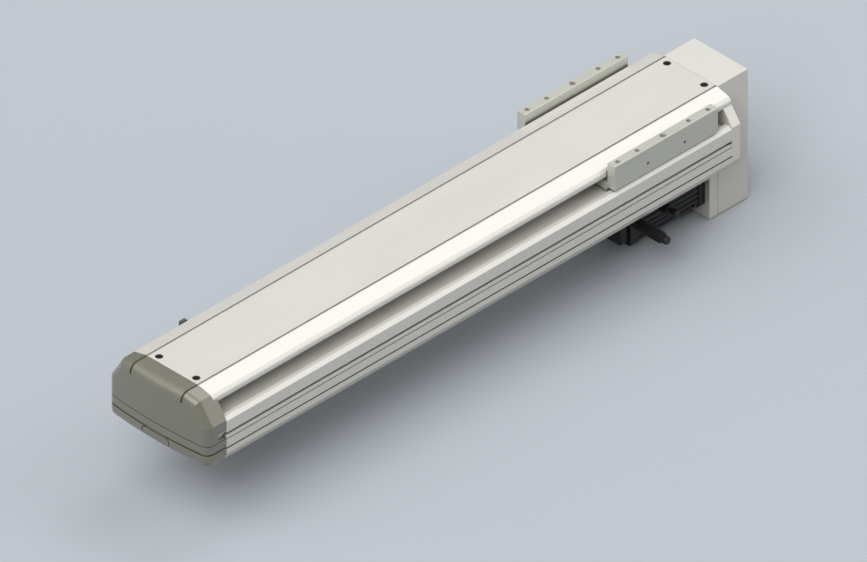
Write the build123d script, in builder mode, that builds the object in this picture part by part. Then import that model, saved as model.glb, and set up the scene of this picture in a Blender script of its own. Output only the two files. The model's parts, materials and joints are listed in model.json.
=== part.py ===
from build123d import *
import os
from math import pi

os.makedirs("parts", exist_ok=True)

# A belt-folded ball screw module: +X across the base, +Y towards the motor end, +Z up.
# The origin is the centre of the base's bottom mounting face. Sizes are millimetres.

# Base extrusion
base_length = 688.0
base_width = 135.0
base_front = -base_length / 2
base_rear = base_length / 2
side_x = base_width / 2
foot_x = side_x - 3.5
foot_rise = 7.3
rim_height = 49.0
rim_chamfer = 3.3
rim_inner_x = side_x - 8.4
ledge_height = 44.5
channel_x = 32.0
floor_height = 11.5

# Hollow cells, ribs and screw ports of the base
cell_inner_x = channel_x + 4.5
cell_outer_x = side_x - 8.0
cell_floor = 11.5
cell_top = ledge_height - 4.0
rib_thickness = 3.0
port_radius = 2.5
port_wall = 2.4
port_x = (cell_inner_x + cell_outer_x) / 2
port_low = 16.0
port_high = 33.0

# Sensor slot, line and groove along each side wall
slot_height = 30.5
slot_mouth = 3.8
slot_lip = 1.8
slot_cavity = 6.6
slot_depth = 3.4
line_height = 24.8
line_width = 1.0
line_depth = 1.0
groove_height = 14.0
groove_width = 1.8
groove_depth = 1.8

# Mounting holes in the bottom
mount_x = port_x
mount_outer_y = base_length / 2 - 44.0
mount_inner_y = mount_outer_y / 3
mount_hole_radius = 2.5
mount_hole_depth = 9.5
dowel_hole_radius = 2.5
dowel_hole_depth = 6.0
dowel_y = mount_outer_y * 2 / 3

# Guide tracks set into the channel walls
track_inner_x = channel_x - 4.1
track_depth = 1.6
track_low = 20.0
track_high = 37.0
track_play = 0.03
track_edge = 0.5
ball_radius = 2.0
ball_rows = (24.5, 32.5)
groove_play = 0.06

# End plate, belt housing and rear parts are placed from the base's rear end
plate_front = base_rear
plate_thickness = 11.5
plate_rear = plate_front + plate_thickness

# Top cover
cover_top = 75.5
cover_wall = 2.6
cover_overhang = 6.0
cover_inset = 0.5
cover_front = base_front - cover_overhang
cover_rear = plate_rear - cover_inset
shoulder_x = side_x - 31.8
shoulder_end_x = side_x - 15.7
shoulder_drop = 3.95
lip_x = side_x - 12.2
lip_low_run = 0.2
lip_high_run = 0.9
lip_top = 67.6
lip_rise = 1.5
lip_bottom = 63.7
style_groove_width = 2.4
style_groove_depth = 1.3
cover_screw_x = shoulder_x - 10.4
cover_screw_inset = 7.1
cover_thread_depth = 14.0
cover_play = 0.2
slant_bottom = 47.3

# Front cap
cap_front = base_front - 29.8
cap_bulge = 3.3
cap_rear = base_front - 0.3
cap_wall = 3.0
cap_edge = 9.0
cap_fit = 0.4
cap_cavity_depth = 10.3
parting_height = 25.7
parting_width = 0.8
parting_depth = 0.8
seam_height = 15.5
seam_width = 2.0
seam_depth = 1.3
tab_half = 18.5
tab_depth = 1.2
tab_line = 0.9
tab_corner = 4.0
notch_length = 10.4
notch_low = 26.4
notch_high = 35.2
cap_screw_x = port_x - 4.0
cap_screw_y = base_front - 9.0
cap_thread_depth = 12.0
cap_screw_points = [(-cap_screw_x, cap_screw_y), (cap_screw_x, cap_screw_y)]

# Ball screw, its bearings and the belt drive
screw_height = 27.9
screw_radius = 8.0
front_journal = 5.0
rear_journal = 6.0
pulley_journal = 5.0
screw_front = base_front + 0.3
front_journal_end = base_front - 13.0
lock_thread_end = base_rear + 13.0
screw_rear = plate_rear + 30.5
shaft_chamfer = 0.8
lock_nut_radius = 11.0
lock_nut_length = 9.0
lock_slot_width = 4.0
lock_slots = 4
lock_slot_depth = 1.5
belt_pitch = 5.0
pulley_teeth = 24
belt_teeth = 48
pulley_bevel = 0.6
axis_distance = (belt_teeth - pulley_teeth) * belt_pitch / 2
motor_height = screw_height - axis_distance
pulley_pitch_radius = pulley_teeth * belt_pitch / (2 * pi)
pitch_line_depth = 0.57
pulley_tip_radius = pulley_pitch_radius - pitch_line_depth
tooth_depth = 2.1
tooth_width = 3.0
pulley_front = plate_rear + 5.5
pulley_width = 17.0
flange_thickness = 1.5
flange_rise = 2.4
hub_radius = 11.0
hub_length = 6.0
set_screw_radius = 1.5
belt_width = 15.0
belt_gap = 0.3
belt_thickness = 1.7

# Bearings
front_bearing_radius = 13.0
rear_bearing_radius = 14.0
bearing_width = 8.0
ring_share = 0.30
bearing_gap = 0.25
shield_inset = 0.6

# Front end block
block_front = base_front - 18.0
tongue_x = 31.0
tongue_end = base_front + 12.0
tongue_bottom = 40.0
block_fit = 0.3
journal_play = 2.0
block_floor = 3.0

# Rear bearing block
rear_block_front = base_rear - 17.0
rear_block_x = 27.5
rear_block_bottom = 12.0
rear_block_top = 46.5
rear_block_edge = 2.0
rear_journal_start = rear_block_front - 0.5
block_screw_x = 20.0
block_screw_low = 17.0
block_screw_high = 40.0
block_thread_depth = 8.0

# End plate and belt housing
motor_half = 30.0
tongue_half = motor_half + 6.4
tongue_overlap = 2.0
housing_top = cover_top
housing_bottom = motor_height - motor_half - 13.7
housing_rear = plate_rear + 41.0
housing_wall = 3.5
housing_edge = 0.5
housing_boss = 5.0
housing_screw_x = tongue_half - 5.8
housing_screw_top = housing_top - 5.7
housing_screw_low = housing_bottom + 5.8
housing_thread_depth = 8.0
nut_bore_radius = 12.0

# Motor
motor_corner = 4.0
motor_flange_length = 8.0
motor_body_end = plate_front - 89.7
motor_rear_end = motor_body_end - 10.9
encoder_end = motor_rear_end - 9.7
motor_body_half = motor_half - 0.8
encoder_half = motor_half - 3.5
encoder_edge = 2.0
motor_pilot_radius = 25.0
motor_pilot_height = 3.0
motor_pilot_play = 0.05
motor_pilot_relief = 0.5
motor_bore_radius = 16.0
shaft_play = 0.05
lead_seat = 3.0
lead_play = 0.1
motor_shaft_radius = 7.0
motor_shaft_end = plate_rear + 22.0
motor_shaft_start = base_rear - 44.0
motor_shaft_relief = 1.0
motor_bolt_offset = 24.75
motor_slot_length = 9.0
motor_bolt_radius = 2.5
motor_bolt_play = 0.25
motor_head_room = 4.0
motor_head_play = 1.0
fin_count = 9
fin_width = 2.2
fin_depth = 1.0

# Leads out of the motor's side
power_lead_y = base_rear - 59.0
power_boot_radius = 5.5
power_lead_radius = 2.9
power_lead_end = 52.0
power_boot_end = 38.0
encoder_lead_y = base_rear - 97.5
encoder_boot_radius = 5.6
encoder_boot_end = 45.0
encoder_lead_radius = 3.9
encoder_lead_end = 78.0
lead_cap_length = 7.0
lead_cap_wall = 0.6
lead_cap_edge = 0.4

# Carriage
carriage_y = base_rear - 88.5
ear_length = 140.0
ear_front = carriage_y - ear_length / 2
ear_inner_x = lip_x + 0.8
ear_outer_x = side_x - 0.9
ear_top = 80.0
ear_bottom = 51.7
ear_step_x = ear_inner_x - 1.0
ear_step_run = 1.6
ear_foot_inner_x = 4.0
foot_bottom = 47.5
foot_top = 56.7
ear_edge = 0.5
ear_hole_x = ear_inner_x + 5.4
ear_bolt_outer = 61.5
ear_bolt_inner = 35.0
ear_bolt_radius = 2.5
ear_bolt_depth = 14.0
ear_dowel_radius = 3.1
ear_dowel_depth = 8.0
ear_side_y = 25.0
ear_side_z = 62.3
ear_side_radius = 1.65
foot_screw_x = 20.0
foot_screw_ys = (-40.0, -14.0, 14.0, 40.0)

block_length = 100.0
block_half = channel_x - 4.5
block_bottom = 12.5
block_edge = 1.0
foot_thread_depth = 9.0
nut_thread_depth = 12.0
nut_radius = 13.0
nut_length = 42.0
nut_fit = 0.03
nut_bore = 8.3
nut_flange_length = 8.0
nut_flange_half = 17.0
nut_flange_low = 12.1
nut_flange_high = 44.1
nut_flange_edge = 2.0
nut_screw_offset = 11.5
end_cap_length = 8.0
end_cap_half = block_half - 0.3
end_cap_bottom = 12.8
end_cap_top = 47.0
nut_play = 0.4
cap_opening_half = nut_flange_half + nut_play
cap_opening_top = nut_flange_high + nut_play
seal_thickness = 1.5

# Bumpers
bumper_radius = 5.0
bumper_length = 8.0
bumper_edge = 1.0
bumper_x = 20.0
bumper_z = 52.0

# Limit sensor on the left side and its target on the left ear
sensor_y = base_front + 79.0
sensor_length = 8.0
sensor_edge = 1.0
bracket_length = 16.0
bracket_thickness = 1.2
bracket_corner = 1.5
bracket_low = 24.0
bracket_high = 49.0
sensor_thickness = 3.8
sensor_low = 38.5
sensor_high = 56.5
sensor_screw_z = 43.0
slot_nut_length = 8.0
slot_nut_height = 6.0
slot_nut_thickness = 3.0
slot_nut_play = 0.1
target_thickness = 0.8
target_corner = 2.0
target_low = 53.0
target_high = 67.5
target_length = 66.0

# Small fasteners: head radius, head height, shank radius, socket radius, shank length
m3_button = (3.75, 1.7, 1.5, 1.0, 9.0)
m3_target = (3.75, 1.7, 1.5, 1.0, 6.0)
m3_cap = (2.75, 3.0, 1.5, 1.25, 5.0)
m4_cap = (3.5, 4.0, 2.0, 1.5, 12.0)
m4_block = (3.5, 4.0, 2.0, 1.5, 20.0)
m4_housing = (3.5, 4.0, 2.0, 1.5, 42.0)
m4_flat = (4.0, 2.3, 2.0, 1.25, 9.0)
m5_cap = (4.25, 5.0, 2.5, 2.0, 20.0)
m5_front = (4.25, 5.0, 2.5, 2.0, 24.0)
m5_motor = (4.25, 5.0, 2.5, 2.0, 18.0)
hexagon = 6
head_edge_share = 1 / 6
socket_share = 0.55
flat_socket_share = 0.6
flat_sink = -0.15
head_play = 0.25
head_sink = 0.5
button_sink = 0.1
shank_play = 0.1


def station(y):
    """A plane across the length at Y = y. A negative extrusion from it runs towards +Y."""
    return Plane(origin=(0, y, 0), x_dir=(1, 0, 0), z_dir=(0, -1, 0))


def both_sides(points):
    """The same points on the right and on the left."""
    return points + [(-x, z) for x, z in points]


def outline(points):
    """A face from the right half of a symmetric outline, whose ends lie on the middle line."""
    with BuildSketch() as half:
        with BuildLine():
            Polyline(*points, close=True)
        make_face()
        mirror(about=Plane.YZ)
    return half.sketch


def bar(face, start, end, mode=Mode.ADD):
    """A face in (X, Z) carried along Y from start to end."""
    return extrude(station(start) * face, amount=-(end - start), mode=mode)


def drill(points, radius, start, end, mode=Mode.SUBTRACT):
    """Round holes or pins along Y at (X, Z) points."""
    with BuildSketch() as circles:
        with Locations(*points):
            Circle(radius)
    bar(circles.sketch, start, end, mode)


def sink(points, radius, top, bottom, mode=Mode.SUBTRACT):
    """Round holes or pins along Z at (X, Y) points."""
    with BuildSketch() as circles:
        with Locations(*points):
            Circle(radius)
    extrude(Pos(0, 0, top) * circles.sketch, amount=bottom - top, mode=mode)


def pierce(points, radius, start, end, mode=Mode.SUBTRACT):
    """Round holes or pins along X at (Y, Z) points."""
    with BuildSketch() as circles:
        with Locations(*points):
            Circle(radius)
    extrude(Plane.YZ.offset(start) * circles.sketch, amount=end - start, mode=mode)


def turned(points, height, mode=Mode.ADD):
    """A turned shape around an axis along Y at the given height, from (Y, radius) points."""
    with BuildSketch() as section:
        with BuildLine():
            Polyline(*[(y, height + radius) for y, radius in points], close=True)
        make_face()
    axis = Axis((0, 0, height), (0, 1, 0))
    revolve(Plane.YZ * section.sketch, axis=axis, mode=mode)


def screw(size):
    """A socket head screw: its head stands on Z = 0 and its shank runs down."""
    head, height, shank, socket, length = size
    with BuildPart() as fastener:
        Cylinder(shank, length, align=(Align.CENTER, Align.CENTER, Align.MAX))
        Cylinder(head, height, align=(Align.CENTER, Align.CENTER, Align.MIN))
        chamfer(fastener.edges().group_by(Axis.Z)[-1], height * head_edge_share)
        with BuildSketch(Plane.XY.offset(height)):
            RegularPolygon(socket, hexagon)
        extrude(amount=-height * socket_share, mode=Mode.SUBTRACT)
    return fastener.part


def flat_screw(size):
    """A countersunk screw: the top of its head lies at Z = 0 and its shank runs down."""
    head, height, shank, socket, length = size
    with BuildPart() as fastener:
        Cylinder(shank, length, align=(Align.CENTER, Align.CENTER, Align.MAX))
        Cone(shank, head, height, align=(Align.CENTER, Align.CENTER, Align.MAX))
        with BuildSketch():
            RegularPolygon(socket, hexagon)
        extrude(amount=-height * flat_socket_share, mode=Mode.SUBTRACT)
    return fastener.part


def facing(direction, points):
    """Locations for screws whose heads point in a direction, at (X, Y, Z) points."""
    return [Plane(origin=point, z_dir=direction).location for point in points]


# Outline of the cover, which the front cap and the end plate continue
cover_points = [
    (0, cover_top),
    (shoulder_x, cover_top),
    (shoulder_end_x, cover_top - shoulder_drop),
    (lip_x - lip_high_run, lip_top + lip_rise),
    (lip_x - lip_low_run, lip_top),
    (lip_x, lip_bottom),
]
module_points = cover_points + [
    (side_x, slant_bottom),
    (side_x, foot_rise),
    (foot_x, 0),
    (0, 0),
]
module_face = outline(module_points)
cap_points = [
    (0, cover_top),
    (shoulder_x, cover_top),
    (shoulder_end_x, cover_top - shoulder_drop),
    (side_x, slant_bottom),
    (side_x, foot_rise),
    (foot_x, 0),
    (0, 0),
]
cap_face = outline(cap_points)
end_screw_points = both_sides([(port_x, port_low), (port_x, port_high)])

# Base extrusion
base_points = [
    (0, 0),
    (foot_x, 0),
    (side_x, foot_rise),
    (side_x, rim_height - rim_chamfer),
    (side_x - rim_chamfer, rim_height),
    (rim_inner_x, rim_height),
    (rim_inner_x, ledge_height),
    (channel_x, ledge_height),
    (channel_x, floor_height),
    (0, floor_height),
]
with BuildSketch() as base_section:
    add(outline(base_points))
    for side in (1, -1):
        # hollow cells beside a rib that carries the screw ports
        with Locations((side * (cell_inner_x + cell_outer_x) / 2, cell_floor)):
            Rectangle(
                cell_outer_x - cell_inner_x,
                cell_top - cell_floor,
                align=(Align.CENTER, Align.MIN),
                mode=Mode.SUBTRACT,
            )
        with Locations((side * port_x, cell_floor)):
            Rectangle(
                rib_thickness, cell_top - cell_floor, align=(Align.CENTER, Align.MIN)
            )
        with Locations((side * port_x, port_low), (side * port_x, port_high)):
            Circle(port_radius + port_wall)
            Circle(port_radius, mode=Mode.SUBTRACT)
        # sensor slot: a narrow mouth and a wider cavity
        with Locations((side * (side_x - slot_lip / 2), slot_height)):
            Rectangle(slot_lip, slot_mouth, mode=Mode.SUBTRACT)
        with Locations((side * (side_x - slot_lip - slot_depth / 2), slot_height)):
            Rectangle(slot_depth, slot_cavity, mode=Mode.SUBTRACT)
        # fine line and groove along the wall
        with Locations((side * side_x, line_height)):
            Rectangle(2 * line_depth, line_width, mode=Mode.SUBTRACT)
        with Locations((side * side_x, groove_height)):
            Rectangle(2 * groove_depth, groove_width, mode=Mode.SUBTRACT)
        # seat of the guide track
        with Locations((side * (channel_x + track_depth / 2), (track_low + track_high) / 2)):
            Rectangle(track_depth, track_high - track_low, mode=Mode.SUBTRACT)

mount_points = [
    (x, y)
    for x in (-mount_x, mount_x)
    for y in (-mount_outer_y, -mount_inner_y, mount_inner_y, mount_outer_y)
]
with BuildPart() as base_extrusion:
    bar(base_section.sketch, base_front, base_rear)
    sink(mount_points, mount_hole_radius, mount_hole_depth, 0)
    sink([(mount_x, -dowel_y), (mount_x, dowel_y)], dowel_hole_radius, dowel_hole_depth, 0)
base_extrusion.part.label = "base_extrusion"
export_step(base_extrusion.part, "parts/base_extrusion.step")

# Guide tracks with two ball grooves each
track_outer_x = channel_x + track_depth - track_play
for side, name in ((-1, "left"), (1, "right")):
    with BuildPart() as guide_track:
        with BuildSketch() as track_section:
            with Locations(
                (side * (track_inner_x + track_outer_x) / 2, (track_low + track_high) / 2)
            ):
                Rectangle(
                    track_outer_x - track_inner_x, track_high - track_low - 2 * track_play
                )
            chamfer(track_section.vertices(), track_edge)
            with Locations(*[(side * block_half, z) for z in ball_rows]):
                Circle(ball_radius + groove_play, mode=Mode.SUBTRACT)
        bar(track_section.sketch, base_front, base_rear)
    guide_track.part.label = f"guide_track_{name}"
    export_step(guide_track.part, f"parts/guide_track_{name}.step")

# Top cover: one wall thickness under the outline, with two fine grooves
cover_screw_ys = (cover_front + cover_screw_inset, cover_rear - cover_screw_inset)
cover_screw_points = [(x, y) for x in (-cover_screw_x, cover_screw_x) for y in cover_screw_ys]


def cover_shell(wall):
    """The strip between the cover's outline and a line one wall inside it, open below."""
    skirt = lip_bottom - 2 * wall
    with BuildSketch() as shell:
        add(outline(cover_points + [(lip_x, skirt), (0, skirt)]))
        offset(amount=-wall, kind=Kind.INTERSECTION, mode=Mode.SUBTRACT)
        with Locations((0, lip_bottom)):
            Rectangle(
                2 * base_width,
                base_width,
                align=(Align.CENTER, Align.MAX),
                mode=Mode.SUBTRACT,
            )
    return shell.sketch


with BuildSketch() as cover_section:
    add(cover_shell(cover_wall))
    with Locations(*both_sides([(shoulder_x - style_groove_width / 2, cover_top)])):
        Rectangle(style_groove_width, 2 * style_groove_depth, mode=Mode.SUBTRACT)
with BuildPart() as top_cover:
    bar(cover_section.sketch, cover_front, cover_rear)
    sink(cover_screw_points, m3_button[2] + shank_play, cover_top, cover_top - 2 * cover_wall)
    sink(
        cover_screw_points,
        m3_button[0] + head_play,
        cover_top,
        cover_top - m3_button[1] - button_sink,
    )
top_cover.part.label = "top_cover"
export_step(top_cover.part, "parts/top_cover.step")

cover_screw = screw(m3_button)
with BuildPart() as cover_screws:
    seat = cover_top - m3_button[1] - button_sink
    with Locations(*[(x, y, seat) for x, y in cover_screw_points]):
        add(cover_screw)
cover_screws.part.label = "cover_screws"
export_step(cover_screws.part, "parts/cover_screws.step")

# Front end block: fills the cap and reaches under the cover in a tongue
with BuildSketch() as block_section:
    add(offset(cap_face, amount=-(cap_wall + cap_fit), kind=Kind.INTERSECTION))
with BuildPart() as front_end_block:
    bar(block_section.sketch, block_front, base_front)
    with BuildSketch() as tongue:
        with Locations((0, tongue_bottom)):
            Rectangle(
                2 * tongue_x,
                cover_top - cover_wall - block_fit - tongue_bottom,
                align=(Align.CENTER, Align.MIN),
            )
    bar(tongue.sketch, base_front, tongue_end)
    bar(cover_shell(cover_wall + cover_play), cover_front, base_front, Mode.SUBTRACT)
    # seat and relief of the free end bearing
    drill([(0, screw_height)], front_bearing_radius, base_front - bearing_width, base_front)
    drill(
        [(0, screw_height)],
        front_journal + journal_play,
        block_front + block_floor,
        base_front,
    )
    drill(end_screw_points, m5_front[2] + shank_play, block_front, base_front)
    drill(
        end_screw_points,
        m5_front[0] + head_play,
        block_front,
        block_front + m5_front[1] + head_sink,
    )
    sink(
        [point for point in cover_screw_points if point[1] < 0],
        m3_button[2],
        cover_top,
        cover_top - cover_thread_depth,
    )
    sink(cap_screw_points, m4_flat[2], cap_thread_depth, 0)
front_end_block.part.label = "front_end_block"
export_step(front_end_block.part, "parts/front_end_block.step")

end_screw = screw(m5_front)
with BuildPart() as front_block_screws:
    seat = block_front + m5_front[1] + head_sink
    with Locations(*facing((0, -1, 0), [(x, seat, z) for x, z in end_screw_points])):
        add(end_screw)
front_block_screws.part.label = "front_block_screws"
export_step(front_block_screws.part, "parts/front_block_screws.step")

# Front cap: a moulded shell with a slightly domed front, over the end block
flat_half = side_x - cap_edge


def front_at(x):
    """Y of the cap's domed front at X = x."""
    return cap_front + cap_bulge * (x / flat_half) ** 2


def cap_plan(inset, corner):
    """The cap's outline from above, drawn in by an inset."""
    half = side_x - inset
    with BuildSketch() as plan:
        with BuildLine():
            ThreePointArc(
                (-half, front_at(half) + inset), (0, cap_front + inset), (half, front_at(half) + inset)
            )
            Line((half, front_at(half) + inset), (half, base_front + base_width))
            Line((half, base_front + base_width), (-half, base_front + base_width))
            Line((-half, base_front + base_width), (-half, front_at(half) + inset))
        make_face()
        if corner:
            fillet(plan.vertices().group_by(Axis.Y)[0], corner)
    return plan.sketch


def groove_around_cap(height, width, depth):
    """A groove around the cap's front and sides at one height."""
    with BuildSketch() as ring:
        with Locations((0, cap_front)):
            Rectangle(2 * base_width, base_width)
        add(cap_plan(depth, cap_edge - depth), mode=Mode.SUBTRACT)
    extrude(Pos(0, 0, height - width / 2) * ring.sketch, amount=width, mode=Mode.SUBTRACT)


def groove_over_cap(side):
    """The cover's fine groove, carried on over the cap's top and down its rounded edge."""
    front = front_at(shoulder_x - style_groove_width / 2)
    with BuildSketch() as inside:
        with Locations((front + style_groove_depth, 0)):
            Rectangle(
                base_width,
                cover_top - style_groove_depth,
                align=(Align.MIN, Align.MIN),
            )
        fillet(inside.vertices().sort_by(Axis.X)[0:2].sort_by(Axis.Y)[-1], cap_edge)
    with BuildSketch() as above:
        with Locations((cap_front - cap_bulge, cover_top - cap_edge - style_groove_depth)):
            Rectangle(base_width, base_width, align=(Align.MIN, Align.MIN))
        add(inside.sketch, mode=Mode.SUBTRACT)
    start = side * shoulder_x - (style_groove_width if side > 0 else 0)
    extrude(
        Plane.YZ.offset(start) * above.sketch, amount=style_groove_width, mode=Mode.SUBTRACT
    )


with BuildPart() as front_cap:
    bar(cap_face, cap_front, cap_rear)
    extrude(cap_plan(0, 0), amount=2 * cover_top, mode=Mode.INTERSECT)
    front_face = front_cap.faces().sort_by(Axis.Y)[0]
    fillet(front_face.edges(), cap_edge)
    # the cavity keeps one wall and is open at the back
    bar(
        offset(cap_face, amount=-cap_wall, kind=Kind.INTERSECTION),
        cap_front + cap_cavity_depth,
        cap_rear,
        Mode.SUBTRACT,
    )
    # the cover's end stands in front of the base's end
    bar(outline(cover_points + [(0, lip_bottom)]), cover_front, cap_rear, Mode.SUBTRACT)
    groove_around_cap(parting_height, parting_width, parting_depth)
    groove_around_cap(seam_height, seam_width, seam_depth)
    for side in (1, -1):
        groove_over_cap(side)
    # slot around the tab under the seam
    with BuildSketch() as tab:
        Rectangle(2 * tab_half, 2 * (seam_height - seam_width / 2))
        fillet(tab.vertices().group_by(Axis.Y)[-1], tab_corner)
        offset(amount=-tab_line, mode=Mode.SUBTRACT)
    extrude(
        station(cap_front + tab_depth) * tab.sketch, amount=2 * cap_bulge, mode=Mode.SUBTRACT
    )
    # windows for the sensor slots
    with BuildSketch() as notch:
        with Locations((0, (notch_low + notch_high) / 2)):
            Rectangle(2 * base_width, notch_high - notch_low)
    bar(notch.sketch, cap_rear - notch_length, cap_rear, Mode.SUBTRACT)
    sink(cap_screw_points, m4_flat[2] + shank_play, 2 * cap_wall, 0)
    with Locations(*facing((0, 0, -1), [(x, y, 0) for x, y in cap_screw_points])):
        CounterSinkHole(m4_flat[2] + shank_play, m4_flat[0] + head_play, depth=cap_wall)
front_cap.part.label = "front_cap"
export_step(front_cap.part, "parts/front_cap.step")

cap_screw = flat_screw(m4_flat)
with BuildPart() as cap_screws:
    with Locations(*facing((0, 0, -1), [(x, y, flat_sink) for x, y in cap_screw_points])):
        add(cap_screw)
cap_screws.part.label = "cap_screws"
export_step(cap_screws.part, "parts/cap_screws.step")

# Ball screw with its stepped journals
with BuildPart() as ball_screw:
    turned(
        [
            (front_journal_end, 0),
            (front_journal_end, front_journal),
            (screw_front, front_journal),
            (screw_front, screw_radius),
            (rear_journal_start, screw_radius),
            (rear_journal_start, rear_journal),
            (lock_thread_end, rear_journal),
            (lock_thread_end, pulley_journal),
            (screw_rear, pulley_journal),
            (screw_rear, 0),
        ],
        screw_height,
    )
    chamfer(ball_screw.edges().filter_by(GeomType.CIRCLE).group_by(Axis.Y)[0], shaft_chamfer)
    chamfer(ball_screw.edges().filter_by(GeomType.CIRCLE).group_by(Axis.Y)[-1], shaft_chamfer)
ball_screw.part.label = "ball_screw"
export_step(ball_screw.part, "parts/ball_screw.step")


def outer_ring(start, radius, bore):
    """A bearing's outer ring with shields that reach almost to the inner ring."""
    ring = ring_share * (radius - bore)
    inner_edge = bore + ring
    turned(
        [
            (start, radius),
            (start, radius - ring),
            (start + shield_inset, radius - ring),
            (start + shield_inset, inner_edge + bearing_gap),
            (start + bearing_width - shield_inset, inner_edge + bearing_gap),
            (start + bearing_width - shield_inset, radius - ring),
            (start + bearing_width, radius - ring),
            (start + bearing_width, radius),
        ],
        screw_height,
    )


def inner_ring(start, radius, bore):
    """A bearing's inner ring."""
    ring = ring_share * (radius - bore)
    turned(
        [
            (start, bore),
            (start, bore + ring),
            (start + bearing_width, bore + ring),
            (start + bearing_width, bore),
        ],
        screw_height,
    )


# Bearing at the free end
front_bearing_start = base_front - bearing_width
with BuildPart() as front_bearing_outer:
    outer_ring(front_bearing_start, front_bearing_radius, front_journal)
front_bearing_outer.part.label = "front_bearing_outer"
export_step(front_bearing_outer.part, "parts/front_bearing_outer.step")

with BuildPart() as front_bearing_inner:
    inner_ring(front_bearing_start, front_bearing_radius, front_journal)
front_bearing_inner.part.label = "front_bearing_inner"
export_step(front_bearing_inner.part, "parts/front_bearing_inner.step")

# Pair of angular contact bearings at the fixed end
rear_bearing_starts = (base_rear - 2 * bearing_width, base_rear - bearing_width)
with BuildPart() as rear_bearing_outers:
    for start in rear_bearing_starts:
        outer_ring(start, rear_bearing_radius, rear_journal)
rear_bearing_outers.part.label = "rear_bearing_outers"
export_step(rear_bearing_outers.part, "parts/rear_bearing_outers.step")

with BuildPart() as rear_bearing_inners:
    for start in rear_bearing_starts:
        inner_ring(start, rear_bearing_radius, rear_journal)
rear_bearing_inners.part.label = "rear_bearing_inners"
export_step(rear_bearing_inners.part, "parts/rear_bearing_inners.step")

# Rear bearing block inside the channel
block_screw_points = both_sides(
    [(block_screw_x, block_screw_low), (block_screw_x, block_screw_high)]
)
with BuildPart() as rear_bearing_block:
    with BuildSketch() as block_shape:
        with Locations((0, rear_block_bottom)):
            Rectangle(
                2 * rear_block_x,
                rear_block_top - rear_block_bottom,
                align=(Align.CENTER, Align.MIN),
            )
        chamfer(block_shape.vertices().group_by(Axis.Y)[-1], rear_block_edge)
    bar(block_shape.sketch, rear_block_front, base_rear)
    drill([(0, screw_height)], rear_bearing_radius, rear_bearing_starts[0], base_rear)
    drill([(0, screw_height)], screw_radius + head_sink, rear_block_front, base_rear)
    drill(block_screw_points, m4_block[2] + shank_play, rear_block_front, base_rear)
    drill(
        block_screw_points,
        m4_block[0] + head_play,
        rear_block_front,
        rear_block_front + m4_block[1] + head_sink,
    )
rear_bearing_block.part.label = "rear_bearing_block"
export_step(rear_bearing_block.part, "parts/rear_bearing_block.step")

block_screw = screw(m4_block)
with BuildPart() as bearing_block_screws:
    seat = rear_block_front + m4_block[1] + head_sink
    with Locations(*facing((0, -1, 0), [(x, seat, z) for x, z in block_screw_points])):
        add(block_screw)
bearing_block_screws.part.label = "bearing_block_screws"
export_step(bearing_block_screws.part, "parts/bearing_block_screws.step")

# Lock nut that clamps the inner rings
with BuildPart() as bearing_lock_nut:
    drill([(0, screw_height)], lock_nut_radius, base_rear, base_rear + lock_nut_length, Mode.ADD)
    drill([(0, screw_height)], rear_journal, base_rear, base_rear + lock_nut_length)
    with BuildSketch() as wrench_slots:
        with Locations((0, screw_height)):
            with PolarLocations(lock_nut_radius, lock_slots):
                Rectangle(2 * lock_slot_depth, lock_slot_width)
    bar(
        wrench_slots.sketch,
        base_rear + lock_nut_length / 2,
        base_rear + lock_nut_length,
        Mode.SUBTRACT,
    )
bearing_lock_nut.part.label = "bearing_lock_nut"
export_step(bearing_lock_nut.part, "parts/bearing_lock_nut.step")

# End plate across the rear end, with a tongue that carries the motor
motor_bolt_points = [
    (x, motor_height + z)
    for x in (-motor_bolt_offset, motor_bolt_offset)
    for z in (-motor_bolt_offset, motor_bolt_offset)
]
housing_screw_points = both_sides(
    [(housing_screw_x, housing_screw_top), (housing_screw_x, housing_screw_low)]
)
with BuildPart() as end_plate:
    bar(module_face, plate_front, plate_rear)
    with BuildSketch() as plate_tongue:
        with Locations((0, housing_bottom)):
            Rectangle(
                2 * tongue_half,
                tongue_overlap - housing_bottom,
                align=(Align.CENTER, Align.MIN),
            )
    bar(plate_tongue.sketch, plate_front, plate_rear)
    chamfer(end_plate.faces().sort_by(Axis.Y)[-1].outer_wire().edges(), housing_edge)
    # the cover lies in a rebate along the plate's top
    bar(cover_shell(cover_wall + cover_play), plate_front, plate_rear, Mode.SUBTRACT)
    drill([(0, screw_height)], nut_bore_radius, plate_front, plate_rear)
    drill(
        [(0, motor_height)],
        motor_pilot_radius + motor_pilot_play,
        plate_front,
        plate_front + motor_pilot_height + motor_pilot_relief,
    )
    drill([(0, motor_height)], motor_bore_radius, plate_front, plate_rear)
    # the motor's holes are slots, so the belt can be tensioned
    with BuildSketch() as motor_slots:
        with Locations(*motor_bolt_points):
            SlotOverall(motor_slot_length, 2 * (motor_bolt_radius + motor_bolt_play), rotation=90)
    bar(motor_slots.sketch, plate_front, plate_rear, Mode.SUBTRACT)
    drill(end_screw_points, m5_cap[2] + shank_play, plate_front, plate_rear)
    drill(
        end_screw_points,
        m5_cap[0] + head_play,
        plate_rear - m5_cap[1] - head_sink,
        plate_rear,
    )
    drill(block_screw_points, m4_block[2], plate_front, plate_front + block_thread_depth)
    drill(
        housing_screw_points,
        m4_housing[2],
        plate_rear - housing_thread_depth,
        plate_rear,
    )
    sink(
        [point for point in cover_screw_points if point[1] > 0],
        m3_button[2],
        cover_top,
        cover_top - cover_thread_depth,
    )
end_plate.part.label = "end_plate"
export_step(end_plate.part, "parts/end_plate.step")

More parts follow.
